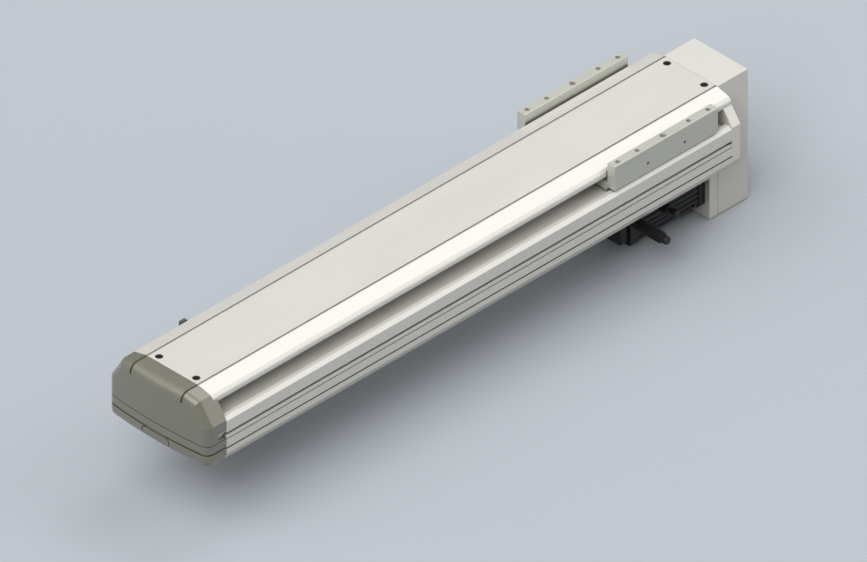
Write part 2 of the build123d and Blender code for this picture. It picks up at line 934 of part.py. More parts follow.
plate_screw = screw(m5_cap)
with BuildPart() as end_plate_screws:
    seat = plate_rear - m5_cap[1] - head_sink
    with Locations(*facing((0, 1, 0), [(x, seat, z) for x, z in end_screw_points])):
        add(plate_screw)
end_plate_screws.part.label = "end_plate_screws"
export_step(end_plate_screws.part, "parts/end_plate_screws.step")

# Belt housing: a box open towards the plate, with screw bosses in its corners
with BuildPart() as belt_housing:
    with BuildSketch() as housing_shape:
        with Locations((0, housing_bottom)):
            Rectangle(
                2 * tongue_half, housing_top - housing_bottom, align=(Align.CENTER, Align.MIN)
            )
    bar(housing_shape.sketch, plate_rear, housing_rear)
    chamfer(belt_housing.faces().sort_by(Axis.Y)[-1].edges(), housing_edge)
    chamfer(belt_housing.faces().sort_by(Axis.Y)[0].edges(), housing_edge)
    bar(
        offset(housing_shape.sketch, amount=-housing_wall, kind=Kind.INTERSECTION),
        plate_rear,
        housing_rear - housing_wall,
        Mode.SUBTRACT,
    )
    with BuildSketch() as housing_bosses:
        with Locations(*housing_screw_points):
            Circle(housing_boss)
    bar(
        housing_bosses.sketch & housing_shape.sketch,
        plate_rear + housing_edge,
        housing_rear - housing_edge,
    )
    drill(housing_screw_points, m4_housing[2] + shank_play, plate_rear, housing_rear)
    drill(
        housing_screw_points,
        m4_housing[0] + head_play,
        housing_rear - m4_housing[1] - head_sink,
        housing_rear,
    )
belt_housing.part.label = "belt_housing"
export_step(belt_housing.part, "parts/belt_housing.step")

housing_screw = screw(m4_housing)
with BuildPart() as housing_screws:
    seat = housing_rear - m4_housing[1] - head_sink
    with Locations(*facing((0, 1, 0), [(x, seat, z) for x, z in housing_screw_points])):
        add(housing_screw)
housing_screws.part.label = "housing_screws"
export_step(housing_screws.part, "parts/housing_screws.step")


def pulley(height, bore):
    """A toothed belt pulley with two flanges and a hub, on an axis at the given height."""
    end = pulley_front + pulley_width
    with BuildSketch() as rim:
        Circle(pulley_tip_radius)
        with PolarLocations(pulley_tip_radius, pulley_teeth):
            SlotCenterToCenter(2 * (tooth_depth - tooth_width / 2), tooth_width, mode=Mode.SUBTRACT)
    bar(Pos(0, height) * rim.sketch, pulley_front, end)
    for start in (pulley_front - flange_thickness, end):
        turned(
            [
                (start, bore),
                (start, pulley_tip_radius + flange_rise - pulley_bevel),
                (start + flange_thickness / 2, pulley_tip_radius + flange_rise),
                (start + flange_thickness, pulley_tip_radius + flange_rise - pulley_bevel),
                (start + flange_thickness, bore),
            ],
            height,
        )
    hub_end = end + flange_thickness + hub_length
    drill([(0, height)], hub_radius, end, hub_end, Mode.ADD)
    drill([(0, height)], bore, pulley_front - flange_thickness, hub_end)
    # tapped hole of the set screw in the hub
    sink([(0, hub_end - hub_length / 2)], set_screw_radius, height + hub_radius, height)


with BuildPart() as screw_pulley:
    pulley(screw_height, pulley_journal)
screw_pulley.part.label = "screw_pulley"
export_step(screw_pulley.part, "parts/screw_pulley.step")

with BuildPart() as motor_pulley:
    pulley(motor_height, motor_shaft_radius)
motor_pulley.part.label = "motor_pulley"
export_step(motor_pulley.part, "parts/motor_pulley.step")

# Timing belt: a band that clears the teeth, so the pulleys can turn inside it
belt_inner = pulley_tip_radius + belt_gap
belt_start = pulley_front + (pulley_width - belt_width) / 2
with BuildSketch() as band:
    with Locations((0, (screw_height + motor_height) / 2)):
        SlotCenterToCenter(axis_distance, 2 * (belt_inner + belt_thickness), rotation=90)
        SlotCenterToCenter(axis_distance, 2 * belt_inner, rotation=90, mode=Mode.SUBTRACT)
with BuildPart() as timing_belt:
    bar(band.sketch, belt_start, belt_start + belt_width)
timing_belt.part.label = "timing_belt"
export_step(timing_belt.part, "parts/timing_belt.step")

# Motor: flange, stator body with cooling ribs, rear housing and encoder cap
with BuildSketch() as flange_square:
    RectangleRounded(2 * motor_half, 2 * motor_half, motor_corner)
with BuildSketch() as body_square:
    RectangleRounded(2 * motor_body_half, 2 * motor_body_half, motor_corner)
    for angle in (0, 90, 180, 270):
        with PolarLocations(motor_body_half, 1, start_angle=angle):
            with GridLocations(0, 2 * motor_body_half / (fin_count + 1), 1, fin_count):
                Rectangle(2 * fin_depth, fin_width, mode=Mode.SUBTRACT)
with BuildSketch() as encoder_square:
    RectangleRounded(2 * encoder_half, 2 * encoder_half, motor_corner)
motor_flange_front = plate_front - motor_flange_length
motor_center = Pos(0, motor_height)
pilot_end = plate_front + motor_pilot_height

with BuildPart() as motor_flange:
    bar(motor_center * flange_square.sketch, motor_flange_front, plate_front)
    drill([(0, motor_height)], motor_pilot_radius, plate_front, pilot_end, Mode.ADD)
    drill(
        [(0, motor_height)], motor_shaft_radius + shaft_play, motor_flange_front, pilot_end
    )
    drill(motor_bolt_points, motor_bolt_radius, motor_flange_front, plate_front)
motor_flange.part.label = "motor_flange"
export_step(motor_flange.part, "parts/motor_flange.step")

with BuildPart() as motor_body:
    bar(motor_center * body_square.sketch, motor_body_end, motor_flange_front)
    drill(
        [(0, motor_height)],
        motor_shaft_radius + shaft_play,
        motor_shaft_start - motor_shaft_relief,
        motor_flange_front,
    )
    # the flange's corner screws need room in front of the flange
    drill(
        motor_bolt_points,
        m5_motor[0] + motor_head_play,
        motor_flange_front - m5_motor[1] - motor_head_room,
        motor_flange_front,
    )
    # seat of the power lead's boot
    pierce(
        [(power_lead_y, motor_height)],
        power_boot_radius + lead_play,
        motor_body_half - lead_seat,
        motor_half,
    )
motor_body.part.label = "motor_body"
export_step(motor_body.part, "parts/motor_body.step")

with BuildPart() as motor_rear_housing:
    bar(motor_center * flange_square.sketch, motor_rear_end, motor_body_end)
    rear_edges = motor_rear_housing.edges().group_by(Axis.Y)[0]
    chamfer(rear_edges, shaft_chamfer)
    pierce(
        [(encoder_lead_y, motor_height)],
        encoder_boot_radius + lead_play,
        motor_half - lead_seat,
        motor_half,
    )
motor_rear_housing.part.label = "motor_rear_housing"
export_step(motor_rear_housing.part, "parts/motor_rear_housing.step")

with BuildPart() as encoder_cap:
    bar(motor_center * encoder_square.sketch, encoder_end, motor_rear_end)
    fillet(encoder_cap.edges().group_by(Axis.Y)[0], encoder_edge)
encoder_cap.part.label = "encoder_cap"
export_step(encoder_cap.part, "parts/encoder_cap.step")

motor_screw = screw(m5_motor)
with BuildPart() as motor_screws:
    with Locations(
        *facing((0, -1, 0), [(x, motor_flange_front, z) for x, z in motor_bolt_points])
    ):
        add(motor_screw)
motor_screws.part.label = "motor_screws"
export_step(motor_screws.part, "parts/motor_screws.step")

with BuildPart() as motor_shaft:
    drill(
        [(0, motor_height)], motor_shaft_radius, motor_shaft_start, motor_shaft_end, Mode.ADD
    )
    chamfer(motor_shaft.edges().group_by(Axis.Y)[-1], shaft_chamfer)
motor_shaft.part.label = "motor_shaft"
export_step(motor_shaft.part, "parts/motor_shaft.step")


def lead(along, start, boot_end, boot_radius, end, radius):
    """A moulded lead boot that tapers to the lead, from the motor's right side outwards."""
    taper = min(boot_end - start, 2 * boot_radius)
    with BuildSketch() as section:
        with BuildLine():
            Polyline(
                (start, 0),
                (start, boot_radius),
                (boot_end - taper / 2, boot_radius),
                (boot_end, radius),
                (end, radius),
                (end, 0),
                close=True,
            )
        make_face()
    with BuildPart() as turned_lead:
        revolve(section.sketch, axis=Axis.X)
    return Pos(0, along, motor_height) * turned_lead.part


def lead_cap(along, end, radius):
    """The closed round end of a lead."""
    with BuildPart() as cap:
        Cylinder(
            radius + lead_cap_wall,
            lead_cap_length,
            rotation=(0, 90, 0),
            align=(Align.CENTER, Align.CENTER, Align.MIN),
        )
        fillet(cap.edges().group_by(Axis.X)[-1], radius / 2)
        chamfer(cap.edges().group_by(Axis.X)[0], lead_cap_edge)
    return Pos(end - lead_cap_length, along, motor_height) * cap.part


with BuildPart() as power_lead_outlet:
    add(
        lead(
            power_lead_y,
            motor_body_half - lead_seat,
            power_boot_end,
            power_boot_radius,
            power_lead_end - lead_cap_length,
            power_lead_radius,
        )
    )
power_lead_outlet.part.label = "power_lead_outlet"
export_step(power_lead_outlet.part, "parts/power_lead_outlet.step")

with BuildPart() as power_connector:
    add(lead_cap(power_lead_y, power_lead_end, power_lead_radius))
power_connector.part.label = "power_connector"
export_step(power_connector.part, "parts/power_connector.step")

with BuildPart() as encoder_lead_outlet:
    add(
        lead(
            encoder_lead_y,
            motor_half - lead_seat,
            encoder_boot_end,
            encoder_boot_radius,
            encoder_lead_end - lead_cap_length,
            encoder_lead_radius,
        )
    )
encoder_lead_outlet.part.label = "encoder_lead_outlet"
export_step(encoder_lead_outlet.part, "parts/encoder_lead_outlet.step")

with BuildPart() as encoder_connector:
    add(lead_cap(encoder_lead_y, encoder_lead_end, encoder_lead_radius))
encoder_connector.part.label = "encoder_connector"
export_step(encoder_connector.part, "parts/encoder_connector.step")

# Carriage block between the guide tracks, bored for the nut
block_front_y = carriage_y - block_length / 2
block_rear_y = carriage_y + block_length / 2
foot_screw_points = [
    (side * foot_screw_x, carriage_y + y) for side in (-1, 1) for y in foot_screw_ys
]
nut_screw_points = [
    (x, screw_height + z)
    for x in (-nut_screw_offset, nut_screw_offset)
    for z in (-nut_screw_offset, nut_screw_offset)
]
with BuildPart() as carriage_block:
    with BuildSketch() as block_shape:
        with Locations((0, block_bottom)):
            Rectangle(
                2 * block_half, foot_bottom - block_bottom, align=(Align.CENTER, Align.MIN)
            )
        chamfer(block_shape.vertices(), block_edge)
        with Locations(*[(side * block_half, z) for side in (-1, 1) for z in ball_rows]):
            Circle(ball_radius + groove_play, mode=Mode.SUBTRACT)
    bar(block_shape.sketch, block_front_y, block_rear_y)
    drill([(0, screw_height)], nut_radius + nut_fit, block_front_y, block_rear_y)
    drill(nut_screw_points, m4_cap[2], block_front_y, block_front_y + nut_thread_depth)
    sink(foot_screw_points, m4_cap[2], foot_bottom, foot_bottom - foot_thread_depth)
carriage_block.part.label = "carriage_block"
export_step(carriage_block.part, "parts/carriage_block.step")

# Ball return caps and wipers at both ends of the block
with BuildSketch() as cap_shape:
    with Locations((0, end_cap_bottom)):
        Rectangle(
            2 * end_cap_half, end_cap_top - end_cap_bottom, align=(Align.CENTER, Align.MIN)
        )
    chamfer(cap_shape.vertices(), block_edge)
    with Locations((0, end_cap_bottom)):
        Rectangle(
            2 * cap_opening_half,
            cap_opening_top - end_cap_bottom,
            align=(Align.CENTER, Align.MIN),
            mode=Mode.SUBTRACT,
        )
end_cap_places = {
    "front": (block_front_y - end_cap_length, block_front_y),
    "rear": (block_rear_y, block_rear_y + end_cap_length),
}
for name, (start, end) in end_cap_places.items():
    with BuildPart() as end_cap:
        bar(cap_shape.sketch, start, end)
    end_cap.part.label = f"end_cap_{name}"
    export_step(end_cap.part, f"parts/end_cap_{name}.step")

seal_starts = (
    block_front_y - end_cap_length - seal_thickness,
    block_rear_y + end_cap_length,
)
with BuildPart() as end_seals:
    for start in seal_starts:
        bar(cap_shape.sketch, start, start + seal_thickness)
end_seals.part.label = "end_seals"
export_step(end_seals.part, "parts/end_seals.step")

# Ball nut with its flange on the block's front face
with BuildPart() as ball_nut:
    drill(
        [(0, screw_height)], nut_radius, block_front_y, block_front_y + nut_length, Mode.ADD
    )
    with BuildSketch() as nut_flange:
        with Locations((0, nut_flange_low)):
            Rectangle(
                2 * nut_flange_half,
                nut_flange_high - nut_flange_low,
                align=(Align.CENTER, Align.MIN),
            )
        chamfer(nut_flange.vertices(), nut_flange_edge)
    bar(nut_flange.sketch, block_front_y - nut_flange_length, block_front_y)
    drill(
        [(0, screw_height)],
        nut_bore,
        block_front_y - nut_flange_length,
        block_front_y + nut_length,
    )
    drill(
        nut_screw_points,
        m4_cap[2] + shank_play,
        block_front_y - nut_flange_length,
        block_front_y,
    )
    drill(
        nut_screw_points,
        m4_cap[0] + head_play,
        block_front_y - nut_flange_length,
        block_front_y - nut_flange_length + m4_cap[1] + head_sink,
    )
ball_nut.part.label = "ball_nut"
export_step(ball_nut.part, "parts/ball_nut.step")

nut_screw = screw(m4_cap)
with BuildPart() as nut_screws:
    seat = block_front_y - nut_flange_length + m4_cap[1] + head_sink
    with Locations(*facing((0, -1, 0), [(x, seat, z) for x, z in nut_screw_points])):
        add(nut_screw)
nut_screws.part.label = "nut_screws"
export_step(nut_screws.part, "parts/nut_screws.step")

# Ears: the foot runs under the cover's lip and over the base's rim
ear_rear = ear_front + ear_length
ear_offsets = (-ear_bolt_outer, -ear_bolt_inner, ear_bolt_inner, ear_bolt_outer)
ear_top_ys = [carriage_y + offset_y for offset_y in ear_offsets]
ear_side_points = [(carriage_y + y, ear_side_z) for y in (-ear_side_y, ear_side_y)]
for side, name in ((-1, "left"), (1, "right")):
    with BuildPart() as ear:
        with BuildSketch() as ear_section:
            with BuildLine():
                Polyline(
                    (side * ear_foot_inner_x, foot_bottom),
                    (side * ear_step_x, foot_bottom),
                    (side * (ear_step_x + ear_step_run), ear_bottom),
                    (side * ear_outer_x, ear_bottom),
                    (side * ear_outer_x, ear_top),
                    (side * ear_inner_x, ear_top),
                    (side * ear_inner_x, foot_top),
                    (side * ear_foot_inner_x, foot_top),
                    close=True,
                )
            make_face()
            chamfer(ear_section.vertices().group_by(Axis.Y)[-1], ear_edge)
        bar(ear_section.sketch, ear_front, ear_rear)
        sink(
            [(side * ear_hole_x, y) for y in ear_top_ys],
            ear_bolt_radius,
            ear_top,
            ear_top - ear_bolt_depth,
        )
        sink(
            [(side * ear_hole_x, carriage_y)],
            ear_dowel_radius,
            ear_top,
            ear_top - ear_dowel_depth,
        )
        pierce(
            ear_side_points,
            ear_side_radius,
            side * ear_outer_x,
            side * ear_inner_x,
        )
        own_screws = [point for point in foot_screw_points if point[0] * side > 0]
        sink(own_screws, m4_cap[2] + shank_play, foot_top, foot_bottom)
        sink(
            own_screws,
            m4_cap[0] + head_play,
            foot_top,
            foot_top - m4_cap[1] - head_sink,
        )
    ear.part.label = f"{name}_ear"
    export_step(ear.part, f"parts/{name}_ear.step")

foot_screw = screw(m4_cap)
with BuildPart() as ear_screws:
    seat = foot_top - m4_cap[1] - head_sink
    with Locations(*[(x, y, seat) for x, y in foot_screw_points]):
        add(foot_screw)
ear_screws.part.label = "ear_screws"
export_step(ear_screws.part, "parts/ear_screws.step")

# Bumpers at both ends of the travel
bumper_starts = {"front_stopper": (tongue_end, 1), "rear_stopper": (plate_front, -1)}
for name, (start, way) in bumper_starts.items():
    with BuildPart() as bumper:
        low, high = sorted((start, start + way * bumper_length))
        drill([(-bumper_x, bumper_z), (bumper_x, bumper_z)], bumper_radius, low, high, Mode.ADD)
        tip = bumper.edges().group_by(Axis.Y)[-1 if way > 0 else 0]
        chamfer(tip, bumper_edge)
    bumper.part.label = name
    export_step(bumper.part, f"parts/{name}.step")

# Limit sensor on a bracket that clamps in the left sensor slot
with BuildPart() as sensor_bracket:
    with Locations((-side_x, sensor_y, (bracket_low + bracket_high) / 2)):
        Box(
            bracket_thickness,
            bracket_length,
            bracket_high - bracket_low,
            align=(Align.MAX, Align.CENTER, Align.CENTER),
        )
    fillet(sensor_bracket.edges().filter_by(Axis.X), bracket_corner)
    pierce(
        [(sensor_y, slot_height), (sensor_y, sensor_screw_z)],
        m3_cap[2] + shank_play,
        -side_x,
        -side_x - bracket_thickness,
    )
sensor_bracket.part.label = "sensor_bracket"
export_step(sensor_bracket.part, "parts/sensor_bracket.step")

sensor_face_x = -side_x - bracket_thickness
with BuildPart() as limit_sensor:
    with Locations((sensor_face_x, sensor_y, (sensor_low + sensor_high) / 2)):
        Box(
            sensor_thickness,
            sensor_length,
            sensor_high - sensor_low,
            align=(Align.MAX, Align.CENTER, Align.CENTER),
        )
    fillet(limit_sensor.edges().filter_by(Axis.X), sensor_edge)
    pierce(
        [(sensor_y, sensor_screw_z)],
        m3_cap[2] + shank_play,
        sensor_face_x,
        sensor_face_x - sensor_thickness,
    )
limit_sensor.part.label = "limit_sensor"
export_step(limit_sensor.part, "parts/limit_sensor.step")

sensor_screw = screw(m3_cap)
with BuildPart() as sensor_screws:
    screw_seats = [
        (sensor_face_x, sensor_y, slot_height),
        (sensor_face_x - sensor_thickness, sensor_y, sensor_screw_z),
    ]
    with Locations(*facing((-1, 0, 0), screw_seats)):
        add(sensor_screw)
sensor_screws.part.label = "sensor_screws"
export_step(sensor_screws.part, "parts/sensor_screws.step")

nut_back_x = slot_lip + slot_nut_play
with BuildPart() as sensor_slot_nut:
    with Locations((-side_x + nut_back_x, sensor_y, slot_height)):
        Box(
            slot_nut_thickness,
            slot_nut_length,
            slot_nut_height,
            align=(Align.MIN, Align.CENTER, Align.CENTER),
        )
    with Locations((-side_x, sensor_y, slot_height)):
        Cylinder(m3_cap[2], 4 * slot_nut_thickness, rotation=(0, 90, 0), mode=Mode.SUBTRACT)
sensor_slot_nut.part.label = "sensor_slot_nut"
export_step(sensor_slot_nut.part, "parts/sensor_slot_nut.step")

# Steel target on the left ear that passes the sensor
with BuildPart() as sensor_target:
    with Locations((-ear_outer_x, carriage_y, (target_low + target_high) / 2)):
        Box(
            target_thickness,
            target_length,
            target_high - target_low,
            align=(Align.MAX, Align.CENTER, Align.CENTER),
        )
    fillet(sensor_target.edges().filter_by(Axis.X), target_corner)
    pierce(
        ear_side_points,
        m3_target[2] + shank_play,
        -ear_outer_x,
        -ear_outer_x - target_thickness,
    )
sensor_target.part.label = "sensor_target"
export_step(sensor_target.part, "parts/sensor_target.step")

target_screw = screw(m3_target)
with BuildPart() as target_screws:
    head_x = -ear_outer_x - target_thickness
    with Locations(*facing((-1, 0, 0), [(head_x, y, z) for y, z in ear_side_points])):
        add(target_screw)
target_screws.part.label = "target_screws"
export_step(target_screws.part, "parts/target_screws.step")
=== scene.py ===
"""A covered linear module: its finishes, fasteners, ball screw, balls, leads, light and camera."""

import json
import math

import bmesh
import bpy
from mathutils import Matrix, Vector


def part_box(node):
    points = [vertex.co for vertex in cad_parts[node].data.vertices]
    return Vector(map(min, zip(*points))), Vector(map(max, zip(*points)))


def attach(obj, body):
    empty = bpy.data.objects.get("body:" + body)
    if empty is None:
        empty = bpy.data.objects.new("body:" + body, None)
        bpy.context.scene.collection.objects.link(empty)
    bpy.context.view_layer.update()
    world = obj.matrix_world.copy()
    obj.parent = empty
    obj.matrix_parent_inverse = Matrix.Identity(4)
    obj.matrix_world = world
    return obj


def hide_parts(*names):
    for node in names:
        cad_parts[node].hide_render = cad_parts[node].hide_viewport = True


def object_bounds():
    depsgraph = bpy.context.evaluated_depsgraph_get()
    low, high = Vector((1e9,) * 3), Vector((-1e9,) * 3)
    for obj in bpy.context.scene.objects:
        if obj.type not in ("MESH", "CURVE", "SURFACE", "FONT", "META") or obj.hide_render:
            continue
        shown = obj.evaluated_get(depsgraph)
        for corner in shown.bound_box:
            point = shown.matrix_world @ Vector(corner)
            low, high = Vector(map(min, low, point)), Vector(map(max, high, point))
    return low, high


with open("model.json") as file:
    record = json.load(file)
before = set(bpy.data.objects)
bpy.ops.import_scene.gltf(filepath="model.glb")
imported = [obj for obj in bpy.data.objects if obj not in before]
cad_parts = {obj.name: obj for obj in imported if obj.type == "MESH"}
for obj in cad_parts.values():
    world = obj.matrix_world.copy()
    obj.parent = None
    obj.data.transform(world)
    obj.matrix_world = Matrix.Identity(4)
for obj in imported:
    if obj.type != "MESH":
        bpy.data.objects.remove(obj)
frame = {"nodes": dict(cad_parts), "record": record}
CAD_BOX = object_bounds()
MM = 0.001
# Points closer than this are one: in a solid from the CAD, and along the seam of the ball screw
SAME_SPOT = 0.001 * MM
SEAM_WIDTH = 0.002 * MM
# Painted shade: a face counts as a crevice, and its tint is darkened, where another one stands
# within this reach
CREVICE_REACH = 4.0 * MM
# Share of the broad pattern in the tone and roughness of a finish
CLOUD_SHARE = 0.4
# Two faces that meet at more than this keep a sharp edge
SHARP_ANGLE = math.radians(32)

bl_info = {
    "name": "Linear module",
    "version": (1, 0, 0),
    "blender": (4, 5, 0),
    "location": "View3D > Sidebar > Linear module",
    "description": "Dresses a covered ball screw module with a folded motor",
    "category": "Object",
}


def linear(code):
    """An sRGB hex colour as linear RGB."""
    values = [int(code[i : i + 2], 16) / 255 for i in (1, 3, 5)]
    return [v / 12.92 if v <= 0.04045 else ((v + 0.055) / 1.055) ** 2.4 for v in values]


def colour(label, code, words):
    """A colour that a user may change."""
    return bpy.props.FloatVectorProperty(
        name=label, description=words, subtype="COLOR", size=3, min=0, max=1, default=linear(code)
    )


def length(label, millimetres, words):
    """A length that a user may change."""
    return bpy.props.FloatProperty(
        name=label, description=words, unit="LENGTH", default=millimetres * MM, precision=5
    )


class ModuleColours(bpy.types.PropertyGroup):
    """Colours of the module's finishes and of the stage."""

    anodised: colour("Anodised aluminium", "#DFDDD7", "Base, cover, end plate and belt housing")
    machined: colour("Machined aluminium", "#C6C7BE", "Ears of the carriage")
    block: colour("Milled aluminium", "#C9CACA", "End block and bearing block inside")
    cap: colour("Cap plastic", "#767567", "Moulded front cap")
    steel: colour("Ground steel", "#B9BBBE", "Tracks, screw, carriage block and bearings")
    zinc: colour("Zinc plate", "#B4B5AE", "Sensor bracket, target and small screws")
    oxide: colour("Black oxide", "#343436", "Socket screws")
    motor: colour("Motor coat", "#090A0B", "Powder coat of the motor")
    plastic: colour("Black plastic", "#0E0E0F", "Encoder cap, connectors and ball return caps")
    rubber: colour("Rubber", "#0B0B0C", "Leads, bumpers, wipers and belt")
    sensor: colour("Sensor plastic", "#4B4B49", "Housing of the limit sensor")
    floor: colour("Floor", "#AEB4BB", "Studio floor as it looks")
    bounce: colour("Floor bounce", "#6C6C6A", "Studio floor as it lights the object from below")


class ModuleSizes(bpy.types.PropertyGroup):
    """Sizes of the pieces that this scene makes, which follow the CAD."""

    screw_radius: length("Screw radius", 8, "Outside of the ball screw")
    screw_lead: length("Screw lead", 10, "Travel of the nut for one turn")
    groove_radius: length("Groove radius", 1.8, "Radius of the ball groove")
    groove_rise: length("Groove rise", 0.68, "How far the groove's centre stands off the screw")
    ball_radius: length("Ball radius", 2.0, "Balls between the tracks and the carriage block")
    ball_pitch: length("Ball pitch", 4.15, "Distance between two balls")
    rib_pitch: length("Rib pitch", 2.6, "Distance between two ribs of a lead's boot")
    frame_width: length("View width", 833.9, "Width of the view at the camera")
    sides: bpy.props.IntProperty(
        name="Sides", description="Straight sides of a round form", default=48, min=12, step=12
    )
    groove_rows: bpy.props.IntProperty(
        name="Groove rows",
        description="Rows of points in one turn of the screw",
        default=12,
        min=6,
    )


def add_node(tree, kind, inputs=(), **settings):
    """Adds a node. Each input is given a value, or the output of another node that feeds it."""
    node = tree.nodes.new(kind)
    for name, value in settings.items():
        setattr(node, name, value)
    for socket, value in dict(inputs).items():
        if isinstance(value, bpy.types.NodeSocket):
            tree.links.new(value, node.inputs[socket])
        else:
            node.inputs[socket].default_value = value
    return node


def finish(name, tint, metallic, roughness, **constants):
    """A new material with its shader: returns the material, its tree and the shader."""
    material = bpy.data.materials.new(name)
    material.use_nodes = True
    tree = material.node_tree
    tree.nodes.clear()
    settings = {"Base Color": (*tint, 1), "Metallic": metallic, "Roughness": roughness}
    for socket, value in constants.items():
        settings[socket.replace("_", " ")] = value
    shader = add_node(tree, "ShaderNodeBsdfPrincipled", settings)
    add_node(tree, "ShaderNodeOutputMaterial", {"Surface": shader.outputs["BSDF"]})
    material.diffuse_color = (*tint, 1)
    return material, tree, shader


def pattern(tree, cell, detail):
    """A pattern from 0 to 1 whose cells have these sizes along X, Y and Z in millimetres."""
    place = add_node(tree, "ShaderNodeTexCoord").outputs["Object"]
    scale = [1 / (size * MM) for size in cell]
    sized = add_node(tree, "ShaderNodeMapping", {"Vector": place, "Scale": scale})
    noise = add_node(
        tree,
        "ShaderNodeTexNoise",
        {"Vector": sized.outputs["Vector"], "Scale": 1.0, "Detail": detail, "Roughness": 0.55},
    )
    return add_node(
        tree,
        "ShaderNodeMapRange",
        {"Value": noise.outputs["Fac"], "From Min": 0.3, "From Max": 0.7},
    ).outputs["Result"]


def surface(tree, shader, tint, fine, broad, shades, gloss, relief, edge, rub, painted_shade):
    """Gives a shader the marks of its making and use, and a painted shade in its crevices.

    fine and broad are the cells of two patterns, edge is the radius of the deburred edges and
    relief the height of the fine marks, all in millimetres. shades are the darkest and lightest
    share of the tint, gloss the lowest and highest roughness, rub how bright the edges are worn
    and painted_shade how far the tint is darkened in crevices, a painted shade.
    """
    marks = pattern(tree, fine, 3.0)
    cloud = pattern(tree, broad, 2.0)
    mixed = add_node(tree, "ShaderNodeMix", {0: CLOUD_SHARE, 2: marks, 3: cloud}).outputs[0]
    dark, light, worn = (
        (*[min(1.0, part * share) for part in tint], 1) for share in (*shades, 1 + rub)
    )
    tone = add_node(tree, "ShaderNodeMix", {0: mixed, 6: dark, 7: light}, data_type="RGBA")
    # Crevices: a painted shade darkens the tint where the view is closed in
    open_view = add_node(
        tree, "ShaderNodeAmbientOcclusion", {"Distance": CREVICE_REACH}, samples=8
    ).outputs["AO"]
    painted_shade_factor = add_node(
        tree,
        "ShaderNodeMapRange",
        {"Value": open_view, "From Min": 0.3, "From Max": 0.8, "To Min": 1 - painted_shade},
    ).outputs["Result"]
    # Edges: where the rounded normal leaves the flat one, the finish is rubbed in patches
    rounded = add_node(tree, "ShaderNodeBevel", {"Radius": edge * MM}, samples=4).outputs["Normal"]
    flat = add_node(tree, "ShaderNodeNewGeometry").outputs["Normal"]
    agree = add_node(
        tree, "ShaderNodeVectorMath", {0: rounded, 1: flat}, operation="DOT_PRODUCT"
    ).outputs["Value"]
    at_edge = add_node(
        tree, "ShaderNodeMapRange", {"Value": agree, "From Min": 0.98, "From Max": 0.8}
    ).outputs["Result"]
    rubbed = add_node(
        tree, "ShaderNodeMath", {0: at_edge, 1: cloud}, operation="MULTIPLY"
    ).outputs["Value"]
    edged = add_node(
        tree,
        "ShaderNodeMix",
        {0: rubbed, 6: tone.outputs[2], 7: worn},
        data_type="RGBA",
    )
    shaded = add_node(
        tree, "ShaderNodeVectorMath", {0: edged.outputs[2], "Scale": painted_shade_factor}, operation="SCALE"
    )
    tree.links.new(shaded.outputs["Vector"], shader.inputs["Base Color"])
    rough = add_node(
        tree, "ShaderNodeMapRange", {"Value": mixed, "To Min": gloss[0], "To Max": gloss[1]}
    )
    tree.links.new(rough.outputs["Result"], shader.inputs["Roughness"])
    raised = add_node(
        tree,
        "ShaderNodeBump",
        {"Height": marks, "Distance": relief * MM, "Strength": 0.6, "Normal": rounded},
    )
    tree.links.new(raised.outputs["Normal"], shader.inputs["Normal"])


def anodised_extruded_aluminium(colours):
    # Extruded, etched and clear anodised: a satin grey with faint die lines along the travel.
    # Real die lines are about 0.2 mm apart, so they are drawn at 2 mm to show at all.
    tint = list(colours.anodised)
    material, tree, shader = finish("anodised_extruded_aluminium", tint, 0.25, 0.38)
    fine, broad = (2.0, 160, 2.0), (45, 90, 45)
    shades, gloss = (0.965, 1.02), (0.33, 0.43)
    surface(
        tree, shader, tint, fine, broad, shades, gloss, relief=0.02, edge=0.5, rub=0.15, painted_shade=0.8
    )
    return material


def bead_blasted_aluminium(colours):
    # Milled plate, bead blasted and anodised: even and without direction, used on box shapes.
    # The grit of 0.2 mm is drawn at 0.9 mm.
    tint = list(colours.anodised)
    material, tree, shader = finish("bead_blasted_aluminium", tint, 0.22, 0.42)
    fine, broad = (0.9, 0.9, 0.9), (40, 40, 40)
    shades, gloss = (0.975, 1.01), (0.38, 0.47)
    surface(
        tree, shader, tint, fine, broad, shades, gloss, relief=0.02, edge=0.5, rub=0.15, painted_shade=0.75
    )
    return material


def milled_anodised_aluminium(colours):
    # Face milled and anodised: fine cutter marks along the part, a shade darker than the cover.
    # Real marks are about 0.1 mm apart and are drawn at 1.2 mm.
    tint = list(colours.machined)
    material, tree, shader = finish("milled_anodised_aluminium", tint, 0.25, 0.4)
    fine, broad = (1.2, 30, 1.2), (18, 30, 18)
    shades, gloss = (0.95, 1.03), (0.33, 0.46)
    surface(
        tree, shader, tint, fine, broad, shades, gloss, relief=0.03, edge=0.5, rub=0.2, painted_shade=0.65
    )
    return material


def milled_aluminium(colours):
    # Bare milled aluminium of the inner blocks: brighter and more metallic.
    tint = list(colours.block)
    material, tree, shader = finish("milled_aluminium", tint, 1.0, 0.35)
    fine, broad = (1.5, 1.5, 25), (15, 15, 15)
    shades, gloss = (0.93, 1.03), (0.28, 0.42)
    surface(
        tree, shader, tint, fine, broad, shades, gloss, relief=0.03, edge=0.4, rub=0.1, painted_shade=0.4
    )
    return material


def moulded_abs(colours):
    # Injection moulded ABS: a satin texture under a smooth skin that lights up on the edges.
    # The texture of 0.15 mm is drawn at 0.7 mm, and the flow marks are real size.
    tint = list(colours.cap)
    material, tree, shader = finish(
        "moulded_abs", tint, 0.0, 0.34, IOR=1.55, Coat_Weight=0.9, Coat_Roughness=0.24
    )
    fine, broad = (0.7, 0.7, 0.7), (30, 30, 12)
    shades, gloss = (0.96, 1.03), (0.29, 0.4)
    surface(
        tree, shader, tint, fine, broad, shades, gloss, relief=0.02, edge=0.4, rub=0.3, painted_shade=0.8
    )
    return material


